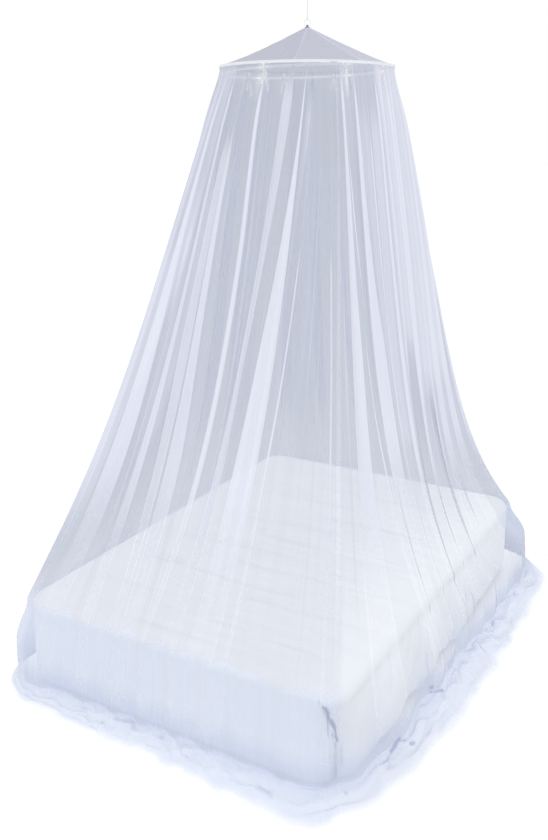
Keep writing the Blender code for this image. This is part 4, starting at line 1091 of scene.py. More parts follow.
def wall_rows():
    """The rows of a wall: fall, level, share of the floor spread, and way down, from hoop to hem."""
    hung = np.concatenate([np.array([0.0, 0.003, 0.006, 0.010, 0.016, 0.024]),
                           np.linspace(0.034, 0.95, 50), np.linspace(0.96, 1.0, 9)])
    levels = np.linspace(EDGE_Z, FLOOR_FOLD_Z, 25)[1:]
    sides = np.interp(levels, [FLOOR_FOLD_Z, BELLY_Z, EDGE_Z], [FLOOR_FOLD_OUT, 0.06, 0.0])
    outs = np.linspace(FLOOR_FOLD_OUT, 1.0, 41)[1:]
    lows = np.interp(outs, [FLOOR_FOLD_OUT, 0.62, 1.0], [FLOOR_FOLD_Z, 0.016, 0.003])
    fall = np.concatenate([hung, np.ones(len(levels) + len(outs))])
    level = np.concatenate([np.full(len(hung), EDGE_Z), levels, lows])
    out = np.concatenate([np.zeros(len(hung)), sides, outs])
    dropped = 1.0 + (FLOOR_DOWN - 1.0) * (EDGE_Z - levels) / (EDGE_Z - FLOOR_FOLD_Z)
    down = np.concatenate([hung, dropped, FLOOR_DOWN - FLOOR_FOLD_OUT + outs])
    return fall, level, out, down


def eased_rows(values):
    """Round off the corners of a line read from the stations."""
    kernel = np.hanning(13)
    kernel /= kernel.sum()
    padded = np.concatenate([np.full(6, values[0]), values, np.full(6, values[-1])])
    return np.convolve(padded, kernel, mode="valid")


def down_the_wall(down, line):
    """An edge given at the five stations, or one for all of them, read down the wall."""
    return eased_rows(np.interp(down, STATIONS, np.broadcast_to(line, len(STATIONS))))


def pleat_edges(pleat, down):
    """Left and right edges of a pleat down the wall; closed where it hasn't begun."""
    left = down_the_wall(down, pleat.left)
    right = down_the_wall(down, pleat.right)
    open_share = smooth_step((down - pleat.begin + 0.02) / 0.09)
    open_share = open_share * (1.0 - smooth_step((down - PLEAT_END + 0.16) / 0.16))
    middle = 0.5 * (left + right)
    half = np.maximum(0.5 * (right - left) * open_share, 0.002)
    return middle - half, middle + half, open_share


def flap_edge(fall):
    """Cloth coordinate of the entrance flap's free edge down the wall."""
    return eased_rows(np.interp(fall, *zip(*FLAP_EDGE)))


def span_shares(longest, per_unit):
    """Places of the threads along a span, with one close to each end so that its edge is crisp."""
    count = max(2, int(round(per_unit * longest)) + 1)
    close = min(0.25 / count, 0.008 / max(longest, 0.02))
    return np.concatenate([[0.0, close], np.linspace(0.0, 1.0, count + 1)[1:-1], [1.0 - close, 1.0]])


def wall_spans(panel, down, edges):
    """The spans between the folds' edges: from, to, whether folded, the fold, and whether it runs back."""
    flap = flap_edge(down)
    is_foot = panel.node == "net_wall_foot"
    is_right = panel.node == "net_wall_right"
    spans = []
    for place in range(len(edges) + 1):
        if place > 0:
            knots = [(edges[place - 1][0], False), (edges[place - 1][1], True)]
        else:
            knots = [(flap - FLAP_LAP if is_right else np.full(len(down), panel.first), False)]
            if is_right:
                knots.append((flap, False))
        if place < len(edges):
            knots += [(edges[place][0], False), (edges[place][1], True)]
        else:
            if is_foot:
                knots.append((flap - FLAP_LAP, False))
            knots.append((flap if is_foot else np.full(len(down), panel.last), False))
        for (here, _), (there, double) in zip(knots, knots[1:]):
            spans.append((here, there, double, place, False))
        if place < len(edges):
            spans.append((edges[place][1], edges[place][0], True, place, True))
    return spans


def threads(panel, down):
    """Cloth coordinate, layer height, nearness to a fold's edge, foldedness and turns of each thread."""
    edges = [pleat_edges(pleat, down) for pleat in panel.pleats]
    depths = [pleat.depth * edge[2][:, None] for pleat, edge in zip(panel.pleats, edges)]
    parts = []
    spans = wall_spans(panel, down, edges)
    after_fold = False
    after_turn = False
    for number, (here, there, double, place, backward) in enumerate(spans):
        share = span_shares(float(np.abs(there - here).max()), panel.threads)
        if number < len(spans) - 1:
            share = share[:-1]
        line = here[:, None] + (there - here)[:, None] * share[None, :]
        if backward:
            height = depths[place] * (1.0 - 2.0 * share[None, :])
        else:
            height = np.zeros_like(line)
            if place > 0:
                right = edges[place - 1][1][:, None]
                height -= depths[place - 1] * (1.0 - ease_in(line, right, 0.12))
            if place < len(edges):
                left = edges[place][0][:, None]
                height += depths[place] * smooth_step((line - left + 0.12) / 0.12)
        near = np.zeros_like(line)
        for nearby in edges[max(place - 1, 0):place + 1]:
            for edge in nearby[:2]:
                near = np.maximum(near, 1.0 - np.abs(line - edge[:, None]) / 0.03)
        folded = np.full_like(line, 1.0 if double else 0.0)
        if after_fold and not double:
            folded[:, 0] = 1.0
        after_fold = double
        turns = np.zeros_like(line)
        turns[:, 0] = 1.0 if backward or after_turn else 0.0
        after_turn = backward
        parts.append((line, height, np.clip(near, 0.0, 1.0), folded, turns))
    return [np.concatenate(layer, axis=1) for layer in zip(*parts)]


def crease_turns(made, columns, turns):
    """Mark the lines where the cloth turns back as creased, so that each layer keeps its own shading."""
    ends = np.empty(2 * len(made.data.edges), dtype=np.int32)
    made.data.edges.foreach_get("vertices", ends)
    places = ends.reshape(-1, 2) % columns
    sharp = (places[:, 0] == places[:, 1]) & turns[places[:, 0]]
    layer = made.data.attributes.new("sharp_edge", "BOOLEAN", "EDGE")
    layer.data.foreach_set("value", sharp)


def fullness(column, down, panel):
    """How gathered the cloth looks, and how much of that its own layers don't give."""
    doubled = np.zeros_like(column)
    for pleat in panel.pleats:
        left, right, open_share = pleat_edges(pleat, down)
        inside = smooth_step((column - left[:, None]) / 0.04 + 0.5)
        inside = inside * smooth_step((right[:, None] - column) / 0.04 + 0.5)
        doubled = np.maximum(doubled, pleat.dense * inside * open_share[:, None])
    return doubled, streaked(column, down, STREAKS)


def gap_shade_marks(column, down):
    """The painted shade in the dark gaps beside the bed, from 0 to 1."""
    def metres(way):
        beside = np.minimum(way - 1.0, FLOOR_DOWN - 1.0)
        return beside * SIDE_METRES + np.maximum(way - FLOOR_DOWN, 0.0) * FLOOR_METRES

    across = column * COLUMN_METRES
    along = metres(down[:, None])
    marks = np.zeros_like(column)
    for gap in GAP_SHADES:
        start = np.array([gap.column * COLUMN_METRES, metres(gap.down)])
        way = np.array([gap.to_column * COLUMN_METRES, metres(gap.to_down)]) - start
        share = ((across - start[0]) * way[0] + (along - start[1]) * way[1]) / (way @ way)
        share = np.clip(share, 0.0, 1.0)
        off = np.hypot(across - start[0] - share * way[0], along - start[1] - share * way[1])
        width = gap.width_mm / 1000.0 * (0.45 + 0.55 * np.sin(math.pi * (0.15 + 0.7 * share)))
        marks = np.maximum(marks, gap.dark * (1.0 - ease_in(off / width, 0.4, 0.9)))
    return marks


def streaked(column, down, table):
    """The sum of a table of soft-edged parts at each point of the cloth."""
    total = np.zeros_like(column)
    way = down[:, None]
    for streak in table:
        left = down_the_wall(down, streak.left)[:, None]
        right = down_the_wall(down, streak.right)[:, None]
        shown = ease_in(way, streak.begin, 0.08) * (1.0 - ease_in(way, streak.end, 0.10))
        inside = smooth_step((column - left) / streak.soft + 0.5)
        inside = inside * smooth_step((right - column) / streak.soft + 0.5)
        total = total + streak.amount * shown * inside
    return total


def fine_folds(column, way):
    """Fine upright folds below the bed's edge, round about 0."""
    return ridged(column * 6.5, way * 1.2, 7) - 0.5


def over_the_side(column):
    """Where the net hangs over the bed's right side, from 0 to 1."""
    return ease_in(column, *SIDE_BEGINS) * (1.0 - ease_in(column, *SIDE_ENDS))


def wall_points(panel, settings, cloth, down, height):
    """Points of one width: the main folds, the layers of its pleats and small ripples."""
    column, fall, level, out, way = cloth
    lift = 0.0
    if panel.node == "net_wall_foot":
        lift = FLAP_LIFT * ease_in(column - FLAP_START, FLAP_EASE, FLAP_EASE)
    bound = ease_in(fall, BOUND_FALL, 0.05)
    low = ease_in(way, *PAST_EDGE)
    small = noise(column * 5.3, fall * 2.2, 3) - 0.5 + 0.6 * (noise(column * 13.0, fall * 3.1, 4) - 0.5)
    rippled = settings.ripple * (small + 0.9 * low * fine_folds(column, way))
    pressed = np.maximum(ease_in(way, *NEAR_BED), over_the_side(column) * ease_in(way, *NEAR_SIDE))
    layers = height * (1.0 - PRESSED_FLAT * pressed)
    proud = (0.92 - 0.35 * low) * fold_rise(column, fall) + lift + bound * (layers + rippled)
    hung = np.arange(len(down)) <= np.argmax(down == 1.0)
    return np.where(hung[:, None, None],
                    hung_place(column, fall, proud), side_place(column, level, out, proud))


def gathering(panel, cloth, down, turned):
    """How full the net looks and how much thicker it is, before the bed and the floor change that."""
    column, fall, _, _, way = cloth
    near_bed = ease_in(way, *NEAR_BED)
    doubled, loose = fullness(column, down, panel)
    gathered = noise(column * 7.0, fall * 1.3, 5) * 0.5 + noise(column * 19.0, fall * 2.0, 6) * 0.5
    loose = loose + 0.26 * (gathered - 0.42)
    edges = 0.30 * turned * (1.0 - 0.9 * ease_in(way, *PAST_EDGE))
    full = np.clip(np.maximum(doubled, loose) + 0.3 * np.minimum(doubled, loose) + edges, 0.0, 1.0)
    thick = np.clip(loose + 0.10 * doubled + edges * (1.0 - near_bed), 0.0, 1.0)
    return full, thick * (1.0 - (0.75 + 0.22 * over_the_side(column)) * near_bed)


def net_zones(panel, cloth, down, turned):
    """The parts of one width that look different, each from 0 to 1."""
    column, _, _, out, way = cloth
    near_bed = ease_in(way, *NEAR_BED)
    over_side = over_the_side(column)
    crisp = smooth_step((way + 0.010 * (noise(column * 2.1, 0.0 * way, 17) - 0.5) - 0.990) / 0.010)
    beside = crisp + (ease_in(way, *BELOW_EDGE) - crisp) * over_side
    flap = flap_edge(down)[:, None]
    lapped = stitched = np.zeros_like(column)
    if panel.node in ("net_wall_foot", "net_wall_right"):
        lapped = ((column > flap - FLAP_LAP - 1e-6) & (column < flap + 1e-6)).astype(float)
    if panel.node == "net_wall_foot":
        stitched = 0.55 * smooth_step((column - flap + 0.035) / 0.015) * (1.0 - 0.9 * crisp)
    return Zones(near_bed, over_side, over_side * turned * near_bed * (1.0 - beside), beside,
                 ease_in(out, 0.10, 0.2), streaked(column, down, CORNER_SHADE), lapped, stitched,
                 floor_crease_shade(column, out), gap_shade_marks(column, down))


def net_gather(cloth, down, zones, full):
    """How gathered the net looks: its folds show less over the bed, and hardly at all below its edge."""
    full = np.clip(full + 0.30 * zones.lapped, 0.0, 1.0)
    full = np.maximum(full * (1.0 - 0.78 * zones.near_bed) * (1.0 - 0.45 * zones.beside),
                      zones.stitched * (1.0 - 0.5 * zones.near_bed))
    full = full + 0.12 * zones.turned
    full = full + (0.12 + 0.10 * zones.over_side) * zones.lying + 0.18 * zones.corner
    return np.clip(full + streaked(cloth.column, down, LIGHTS), 0.0, 1.0)


def net_cover(settings, cloth, zones, thick, folded):
    """How much light the net stops, from what one layer stops between the hoop and the hem."""
    column, fall, _, out, way = cloth
    single = settings.top_cover + (settings.edge_cover - settings.top_cover) * fall
    single = single - 0.04 * (1.0 - ease_in(fall, 0.015, 0.03)) + 0.15 * zones.beside
    single = single - 0.12 * zones.over_side * zones.near_bed * (1.0 - zones.beside)
    single = single + 0.18 * ease_in(way, FLOOR_WAY, 0.10)
    single = single * (1.0 - beside_ties(column, fall)) + 0.08 * zones.corner
    single = single + 0.16 * ease_in(way, FLOOR_WAY, 0.08) * (1.0 - ease_in(out, 0.35, 0.20))
    single = single * (1.0 - 0.15 * zones.turned) - 0.10 * zones.lying + 0.12 * zones.strokes

    # The hem fades out on the floor in an uneven line.
    ragged = out + 0.14 * (noise(column * 2.3, 0.0 * out, 16) - 0.5)
    fading = 1.0 - 0.90 * ease_in(ragged, 0.76, 0.28)
    single = single * (1.0 - zones.lying + zones.lying * fading) + 0.45 * zones.gaps
    thick = np.maximum(thick, zones.stitched * (1.0 - 0.8 * zones.near_bed))
    layers = 1.0 + 2.0 * folded * zones.near_bed + zones.lapped
    return 1.0 - (1.0 - np.clip(single, *LEAST_AND_MOST)) ** ((1.0 + THICKENING * thick) / layers)


def net_hollow_shade(cloth, down, zones):
    """The painted shade at each point: between folds and over the whole pile on the floor, in creases, gaps,
    the fine folds below the bed's edge, and the parts of SHADES.
    """
    column, _, _, out, way = cloth
    hollow = floor_trough_shade(column, out) * zones.lying * 0.35 + 0.38 * zones.strokes
    hollow = hollow + 0.22 * zones.lying + 1.3 * zones.gaps
    hollow = hollow + 0.12 * ease_in(way, *PAST_EDGE) * (1.0 - zones.lying) * (0.5 - fine_folds(column, way))
    return np.clip(hollow + streaked(column, down, SHADES), 0.0, 1.0)


def wall_look(panel, settings, cloth, down, turned, folded):
    """What the finish reads at each point: how gathered it is, its cover, where its painted light and shade
    below the bed's edge and its painted shade in hollows lie, and how calm its grain is.
    """
    zones = net_zones(panel, cloth, down, turned)
    full, thick = gathering(panel, cloth, down, turned)
    return {"gather": net_gather(cloth, down, zones, full),
            "cover": net_cover(settings, cloth, zones, thick, folded),
            # low: where the painted light and shade of the net below the bed's edge shows, less in the corner
            # and on the right side.
            "low": zones.beside * (1.0 - 0.5 * zones.corner - 0.12 * zones.over_side),
            "calm": 0.7 * zones.near_bed,
            "hollow": net_hollow_shade(cloth, down, zones)}


def make_wall(panel, settings, finish):
    """One width of net: pleated threads hung from the seam and bunched on the floor."""
    fall, level, out, down = wall_rows()
    column, height, turned, folded, turns = threads(panel, down)
    rows = [np.broadcast_to(row[:, None], column.shape) for row in (fall, level, out, down)]
    cloth = Cloth(column, *rows)
    points = wall_points(panel, settings, cloth, down, height)
    made = add_mesh(panel.name, points.reshape(-1, 3), grid_faces(*column.shape), finish)
    crease_turns(made, column.shape[1], turns[0] > 0.5)
    for name, values in wall_look(panel, settings, cloth, down, turned, folded).items():
        put_layer(made, name, values)
    put_uv(made, column, cloth.fall * 2.0 + cloth.out * 0.2)
    let_light_through(made)
    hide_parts(panel.node)
    return made


# ---------------------------------------------------------------- roof, seam, hoop and ties

def gore_fullness(start, step, shares, radius, angle):
    """How dense a gore looks, and how much of that comes from drawing it lighter towards one side."""
    across = radius * step * np.minimum(shares, 1.0 - shares)[None, :]
    seam = 1.0 - ease_in(across, FELL_WIDTH, FELL_SOFT)
    gathered = noise(angle * 30.0, radius * 5.0, 23)
    stitched = 1.0 - smooth_step(np.abs(radius - STITCH_LINE * SEAM_RADIUS) / STITCH_WIDTH)
    # The gores are drawn lighter towards GORE_LIGHTER_DEG.
    lighter_side = (0.5 + 0.5 * math.cos(start + 0.5 * step - math.radians(GORE_LIGHTER_DEG))) ** 2
    full = 0.14 * gathered + 0.50 * lighter_side - 0.09 + 0.50 * seam + 0.30 * stitched
    return np.clip(full + 0.25 * ease_in(radius / SEAM_RADIUS, 0.97, 0.03), 0.0, 1.0), lighter_side


def make_gore(number, settings, finish):
    """One wedge of the roof, sagging between its seams, with its felled edges showing denser."""
    step = 2.0 * math.pi / GORES
    start = math.radians(GORE_TURN_DEG) + number * step
    shares = np.linspace(0.0, 1.0, 41)
    radii = np.concatenate([[ROOF_EYE], np.linspace(0.02, SEAM_RADIUS, 40)])
    radius = np.concatenate([radii, np.full(3, SEAM_RADIUS)])[:, None]
    drop = np.concatenate([np.zeros(len(radii)), np.array([0.3, 0.7, 1.0]) * GORE_LIP])[:, None]
    margin = SEAM_GAP / 2.0 / radius
    angle = start + margin + shares[None, :] * (step - 2.0 * margin)
    middle = np.sin(math.pi * shares)[None, :]
    dip = GORE_DIP * middle * np.sin(math.pi * radius / SEAM_RADIUS)
    small = noise(angle * 9.0, radius * 30.0, 21) - 0.5
    small = small + 0.7 * (noise(angle * 24.0, radius * 12.0, 22) - 0.5)
    small = small * np.sin(math.pi * np.clip(radius / SEAM_RADIUS, 0.0, 1.0)) * middle ** 0.5
    height = roof_height(radius) - dip - drop + GORE_RIPPLE * small
    points = np.stack([HANG_X + radius * np.cos(angle), HANG_Y + radius * np.sin(angle), height], axis=2)
    made = add_mesh(f"Roof_Gore_{number + 1}", points.reshape(-1, 3), grid_faces(*height.shape), finish)
    full, lighter_side = gore_fullness(start, step, shares, radius, angle)
    thick = np.clip(full - 0.3 * lighter_side, 0.0, 1.0)
    put_layer(made, "gather", full)
    put_layer(made, "cover", 1.0 - (1.0 - settings.top_cover) ** (1.0 + 1.6 * thick))
    put_uv(made, angle * 3.0 + 0.0 * height, radius * 3.0 + 0.0 * angle)
    let_light_through(made)
    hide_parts(f"roof_gore_{number + 1}")
    return made


def stand_at(points, origin, azimuth):
    """Turn points given as (out, along, up) to an azimuth and move them to an origin."""
    cosine = math.cos(azimuth)
    sine = math.sin(azimuth)
    return [(origin[0] + out * cosine - along * sine,
             origin[1] + out * sine + along * cosine,
             origin[2] + up) for out, along, up in points]


def ring_rings(radius, wire, count, sides, centre, azimuth):
    """Cross-sections of an upright ring whose plane stands across an azimuth."""
    rings = []
    for turn in circle(count):
        section = []
        for around in circle(sides):
            reach = radius + wire * math.cos(around)
            section.append((wire * math.sin(around), reach * math.cos(turn), reach * math.sin(turn)))
        rings.append(stand_at(section, centre, azimuth))
    return rings


def ribbon(path, across, width, thickness):
    """Cross-sections of a ribbon along a path; across is its crosswise direction at each point."""
    path = np.array(path, float)
    across = np.array(across, float)
    across /= np.linalg.norm(across, axis=1)[:, None]
    along = np.gradient(path, axis=0)
    along /= np.linalg.norm(along, axis=1)[:, None]
    normal = np.cross(along, across)
    normal /= np.linalg.norm(normal, axis=1)[:, None]
    width = np.broadcast_to(width, len(path))[:, None]
    rings = []
    for side, lift in ((-1, -1), (0, -1), (1, -1), (1, 1), (0, 1), (-1, 1)):
        cup = 0.0 if side == 0 else 0.35 * thickness
        rings.append(path + across * width * 0.5 * side + normal * (thickness * 0.5 * lift + cup))
    return np.stack(rings, axis=1)


def band(name, path, across, width, thickness, origin, azimuth, finish):
    """A ribbon that closes on itself, turned to an azimuth and moved to an origin."""
    rings = ribbon(path + path[:1], [across] * (len(path) + 1), width, thickness)[:-1]
    return tube(name, [stand_at(ring, origin, azimuth) for ring in rings], finish, closed=True)


def make_seam_tape(finish):
    """The tape over the seam: a soft band with rounded edges that follows the gathers."""
    low = SEAM_Z - TAPE_BELOW
    high = SEAM_Z + TAPE_ABOVE
    inside = SEAM_RADIUS + TAPE_CLEAR
    rings = []
    for angle in circle(240):
        wave = 0.0005 * math.sin(23.0 * angle) + 0.0004 * math.sin(41.0 * angle + 1.3)
        outside = inside + TAPE_THICKNESS + wave
        soft = 0.0007 * math.sin(31.0 * angle + 0.7)
        section = ((inside, low + 0.0006), (outside - 0.0005, low + 0.5 * soft), (outside, low + 0.0012),
                   (outside - 0.0004, low + 0.0022), (outside + 0.0002, SEAM_Z + 0.0012),
                   (outside - 0.0004, high - 0.0022), (outside, high - 0.0012),
                   (outside - 0.0005, high), (inside, high - 0.0004))
        rings.append([around_axis(reach, angle, height) for reach, height in section])
    made = outward(tube("Seam_Tape", rings, finish, closed=True))
    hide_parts("seam_binding")
    return made


def make_hoop(finish):
    """The round hoop, with the sleeve that joins its two ends."""
    rings = []
    for angle in circle(180):
        from_sleeve = abs(math.remainder(angle - math.radians(SLEEVE_DEG), 2.0 * math.pi)) * HOOP_RADIUS
        wire = HOOP_WIRE - 0.0004 + 0.0006 * float(smooth_step((0.024 - from_sleeve) / 0.002))
        ring = []
        for turn in circle(14):
            height = float(hoop_height(angle)) + wire * math.sin(turn)
            ring.append(around_axis(HOOP_RADIUS + wire * math.cos(turn), angle, height))
        rings.append(ring)
    made = outward(tube("Hoop", rings, finish, closed=True))
    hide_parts("hoop")
    return made


def join(name, pieces):
    """Join pieces into the first and rename it."""
    bpy.ops.object.select_all(action="DESELECT")
    for piece in pieces:
        piece.select_set(True)
    bpy.context.view_layer.objects.active = pieces[0]
    bpy.ops.object.join()
    pieces[0].name = name
    pieces[0].data.name = name
    return pieces[0]


def tie_loop(half, top):
    """Middle line of a ribbon's loop round the hoop, drawn up towards the seam."""
    path = []
    for turn in circle(32):
        lift = top - half if math.sin(turn) > 0.0 else 0.0
        lift = lift * smooth_step(math.sin(turn) * 3.0)
        path.append((half * math.cos(turn), 0.0, half * math.sin(turn) + lift))
    return path


def tie_wrap(hang, lean):
    """Middle line of one turn of a ribbon's knot."""
    return [(WRAP_OUT * math.cos(turn), WRAP_ALONG * math.sin(turn) * math.cos(lean),
             hang + WRAP_ALONG * math.sin(turn) * math.sin(lean)) for turn in circle(20)]


def tie_end(tie, number, hang, length, sideways, curl):
    """Cross-sections of one free end, narrow at the knot, swinging to its side and curling."""
    share = np.linspace(0.0, 1.0, 26)
    slack = -0.0016 if number == 0 else 0.0002
    along = sideways * (1.0 - (1.0 - share) ** 2) + 0.0015 * np.sin(7.0 * share + number)
    out = slack - curl * np.sin(0.9 * math.pi * share) - 0.0008 * np.sin(9.0 * share)
    up = hang + 0.10 * length * np.sin(math.pi * np.minimum(share * 2.0, 1.0)) - length * share
    spin = 0.55 * np.sin(3.2 * share + tie.azimuth_deg + number * 1.7) * share
    path = np.stack([out, along, up], axis=1)
    across = np.stack([-np.sin(spin), np.cos(spin), np.full_like(share, 0.15)], axis=1)
    width = RIBBON_WIDTH * (0.45 + 0.55 * smooth_step(share / 0.35))
    return ribbon(path, across, width, RIBBON_THICKNESS)


def make_tie(tie, finish):
    """A ribbon tied round the hoop: its loop, its wound knot and its two free ends."""
    azimuth = math.radians(tie.azimuth_deg)
    middle = float(hoop_height(azimuth))
    origin = around_axis(HOOP_RADIUS, azimuth, middle)
    half = HOOP_WIRE + TIE_PLAY
    path = tie_loop(half, SEAM_Z - TIE_UNDER_SEAM - middle)
    pieces = [band("loop", path, (0.0, 1.0, 0.0), RIBBON_WIDTH, RIBBON_THICKNESS, origin, azimuth, finish)]
    hang = -(half + WRAP_DROP)
    for number, lean in enumerate(WRAP_LEANS):
        path = tie_wrap(hang + RIBBON_THICKNESS * number, lean)
        across = (0.0, -math.sin(lean), math.cos(lean))
        pieces.append(band("wrap", path, across, WRAP_WIDTH, RIBBON_THICKNESS, origin, azimuth, finish))
    ends = ((tie.first_mm, -tie.splay_mm, tie.curl_mm), (tie.second_mm, tie.splay_mm, 0.6 * tie.curl_mm))
    for number, (length, sideways, curl) in enumerate(ends):
        rings = tie_end(tie, number, hang, length / 1000.0, sideways / 2000.0, curl / 1000.0)
        pieces.append(tube("end", [stand_at(ring, origin, azimuth) for ring in rings], finish))
    made = outward(join(f"Ribbon_{tie.name.title()}", pieces))
    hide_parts(tie.name)
    total = (tie.first_mm + tie.second_mm) / 1000.0 + TIE_ROUND_HOOP
    return made


def loop_path(inner_half, low, high, arc):
    """Middle line of a long upright loop (out, along, up)."""
    turns = [math.pi * step / arc for step in range(arc + 1)]
    upper = [(inner_half * math.cos(turn), 0.0, high + inner_half * math.sin(turn)) for turn in turns]
    lower = [(inner_half * math.cos(math.pi + turn), 0.0, low + inner_half * math.sin(math.pi + turn))
             for turn in turns]
    return upper + lower


def make_ring(finish):
    """The ring at the roof's tip."""
    centre = (HANG_X, HANG_Y, RING_Z)
    rings = ring_rings(RING_RADIUS, RING_WIRE, 72, 16, centre, math.radians(FACING_DEG))
    made = outward(tube("Hanging_Ring", rings, finish, closed=True))
    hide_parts("hanging_ring")
    return made


def make_tip_tab(finish):
    """The patch sewn over the roof's tip and the strap that holds the ring."""
    facing = math.radians(FACING_DEG)
    profile = [(radius, float(roof_height(max(radius, ROOF_EYE))) + lift) for radius, lift in TAB_PROFILE]
    rings = [[around_axis(radius, turn, height) for radius, height in profile] for turn in circle(48)]
    patch = tube("patch", rings, finish, closed=True)
    wire_z = RING_Z - RING_RADIUS
    half = RING_WIRE + 0.0010
    foot = float(roof_height(ROOF_EYE)) + 0.0035
    path = loop_path(half, foot - wire_z, SEAM_GAP, 10)
    strap = band("strap", path, (0.0, 1.0, 0.0), 0.0062, 0.0009, (HANG_X, HANG_Y, wire_z), facing, finish)
    made = outward(join("Tip_Tab", [patch, strap]))
    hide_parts("apex_tab")
    return made


def knot_reach(wire):
    """How far a loop's knot stands from the middle of the wire it is tied to."""
    return wire + LOOP_PLAY + LOOP_THICKNESS + KNOT_OVERLAP


def make_cord_loop(name, node, wire_z, wire, side, finish):
    """The cord's end tied round a wire: its loop and its knot."""
    facing = math.radians(FACING_DEG)
    half = wire + LOOP_PLAY + 0.5 * LOOP_THICKNESS
    path = np.array(loop_path(half, -LOOP_PLAY, LOOP_PLAY, 12))
    rings = []
    for middle in path:
        outward_way = middle - np.array([0.0, 0.0, np.clip(middle[2], -LOOP_PLAY, LOOP_PLAY)])
        outward_way /= np.linalg.norm(outward_way)
        ring = [middle + outward_way * (0.5 * LOOP_THICKNESS) * math.cos(turn)
                + np.array([0.0, 0.5 * LOOP_WIDTH, 0.0]) * math.sin(turn) for turn in circle(10)]
        rings.append(stand_at(ring, (HANG_X, HANG_Y, wire_z), facing))
    loop = tube("loop", rings, finish, closed=True)
    knot_z = wire_z + side * knot_reach(wire)
    shape = bmesh.new()
    bmesh.ops.create_uvsphere(shape, u_segments=32, v_segments=20, radius=KNOT_RADIUS)
    for point in shape.verts:
        turn = math.atan2(point.co.y, point.co.x)
        groove = 1.0 + 0.10 * math.sin(3.0 * turn + point.co.z / KNOT_RADIUS * 3.4)
        point.co = point.co * groove
        point.co.x += HANG_X
        point.co.y += HANG_Y
        point.co.z += knot_z
    knot = add_shape("knot", shape, finish)
    knot.data.shade_smooth()
    made = outward(join(name, [loop, knot]))
    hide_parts(node)
    return made


def make_cord(finish):
    """The taut cord from the ring's loop up to the hook's loop."""
    above_knot = KNOT_RADIUS + 0.0004
    low = RING_Z + RING_RADIUS + knot_reach(RING_WIRE) + above_knot
    curve = bpy.data.curves.new("Hanging_Cord", "CURVE")
    curve.dimensions = "3D"
    curve.bevel_depth = CORD_RADIUS
    curve.bevel_resolution = 4
    curve.use_fill_caps = True
    line = curve.splines.new("POLY")
    heights = np.linspace(low, CORD_TOP, 18)
    line.points.add(len(heights) - 1)
    for point, height in zip(line.points, heights):
        point.co = (HANG_X, HANG_Y, height, 1.0)
    curve.materials.append(finish)
    made = add_object("Hanging_Cord", curve)
    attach(made, BODY)
    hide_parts("hanging_cord")
    ring_top = RING_Z + RING_RADIUS
    eye_low = CORD_TOP + knot_reach(EYE_WIRE) + above_knot
    lower = make_cord_loop("Cord_Loop_Lower", "cord_loop_lower", ring_top, RING_WIRE, 1.0, finish)
    upper = make_cord_loop("Cord_Loop_Upper", "cord_loop_upper", eye_low, EYE_WIRE, -1.0, finish)
    return made


# ---------------------------------------------------------------- the bed

def crease_relief(x, y, amount):
    """Height of the creases across the cover's top, and how hard they are pressed, from 0 to 1, which is laid
    on as painted shade.
    """
    relief = np.zeros_like(x)
    pressed = np.zeros_like(x)
    for crease in CREASES:
        share = (x - crease.x_from) / (crease.x_to - crease.x_from)
        line = crease.y + crease.slant * (share - 0.5) + 0.012 * (noise(x * 4.0, crease.y * 9.0, 31) - 0.5)
        shown = smooth_step(share / 0.25) * smooth_step((1.0 - share) / 0.25)
        away = (y - line) / crease.width
        relief -= 1.5 * crease.depth * shown * np.exp(-away ** 2)
        relief += 1.0 * crease.depth * shown * np.exp(-(away - 1.9) ** 2)
        pressed = np.maximum(pressed, shown * np.exp(-(1.6 * away) ** 2))
    fine = ridged(x * 3.5 + 0.4 * y, y * 24.0 + 1.5 * noise(x * 3.0, y * 3.0, 33), 32) ** 2
    broad = noise(x * 2.6, y * 5.0, 34) - 0.5
    relief = relief + amount * (fine - 0.35) + 2.2 * amount * broad
    pressed = pressed * (0.35 + 0.65 * ease_in(noise(x * 5.0, y * 3.0, 35), 0.35, 0.3))
    return relief, np.clip(pressed + 0.40 * fine ** 1.5, 0.0, 1.0)


def tuck_depths(azimuths, level):
    """How far the painted shade of the tucks reaches, from 0 to 1, and how deep the cover is tucked in, in
    metres, round the bed at a height.
    """
    deep = np.zeros_like(azimuths)
    drawn = np.zeros_like(azimuths)
    for tuck in TUCKS:
        share = np.clip((level - tuck.low_z) / (tuck.high_z - tuck.low_z), -1.0, 2.0)
        line = np.radians(tuck.low_deg + (tuck.high_deg - tuck.low_deg) * share)
        shown = smooth_step((share + 0.15) / 0.25) * (1.0 - ease_in(share, 0.75, 0.35))
        wide = math.radians(tuck.width_deg) * (1.25 - 0.75 * np.clip(share, 0.0, 1.0))
        near = np.exp(-((azimuths - line) / wide) ** 2) * shown
        deep = np.maximum(deep, near)
        drawn = np.maximum(drawn, tuck.depth * np.exp(-((azimuths - line) / (2.2 * wide)) ** 2) * shown)
    return deep, drawn


def bed_ring(azimuths, grow, height):
    """Points round the bed at a height, on its outline grown by a margin."""
    reach = bed_reach(azimuths, grow)
    height = np.broadcast_to(height, reach.shape)
    return np.stack([reach * np.cos(azimuths), reach * np.sin(azimuths), height], axis=1)


def puckers(azimuths, lobed, down, level):
    """How far small puckers and the tucks draw the cover's falls in."""
    tucked = ridged(azimuths * 11.0, down * 1.2 + 0.0 * azimuths, 42) ** 3
    soft = noise(azimuths * 17.0, down * 2.0 + 0.0 * azimuths, 43)
    inward = (0.004 + 0.010 * lobed) * tucked * math.sin(math.pi * min(0.15 + down, 1.0))
    return -inward - 0.003 * soft - tuck_depths(azimuths, level)[1]


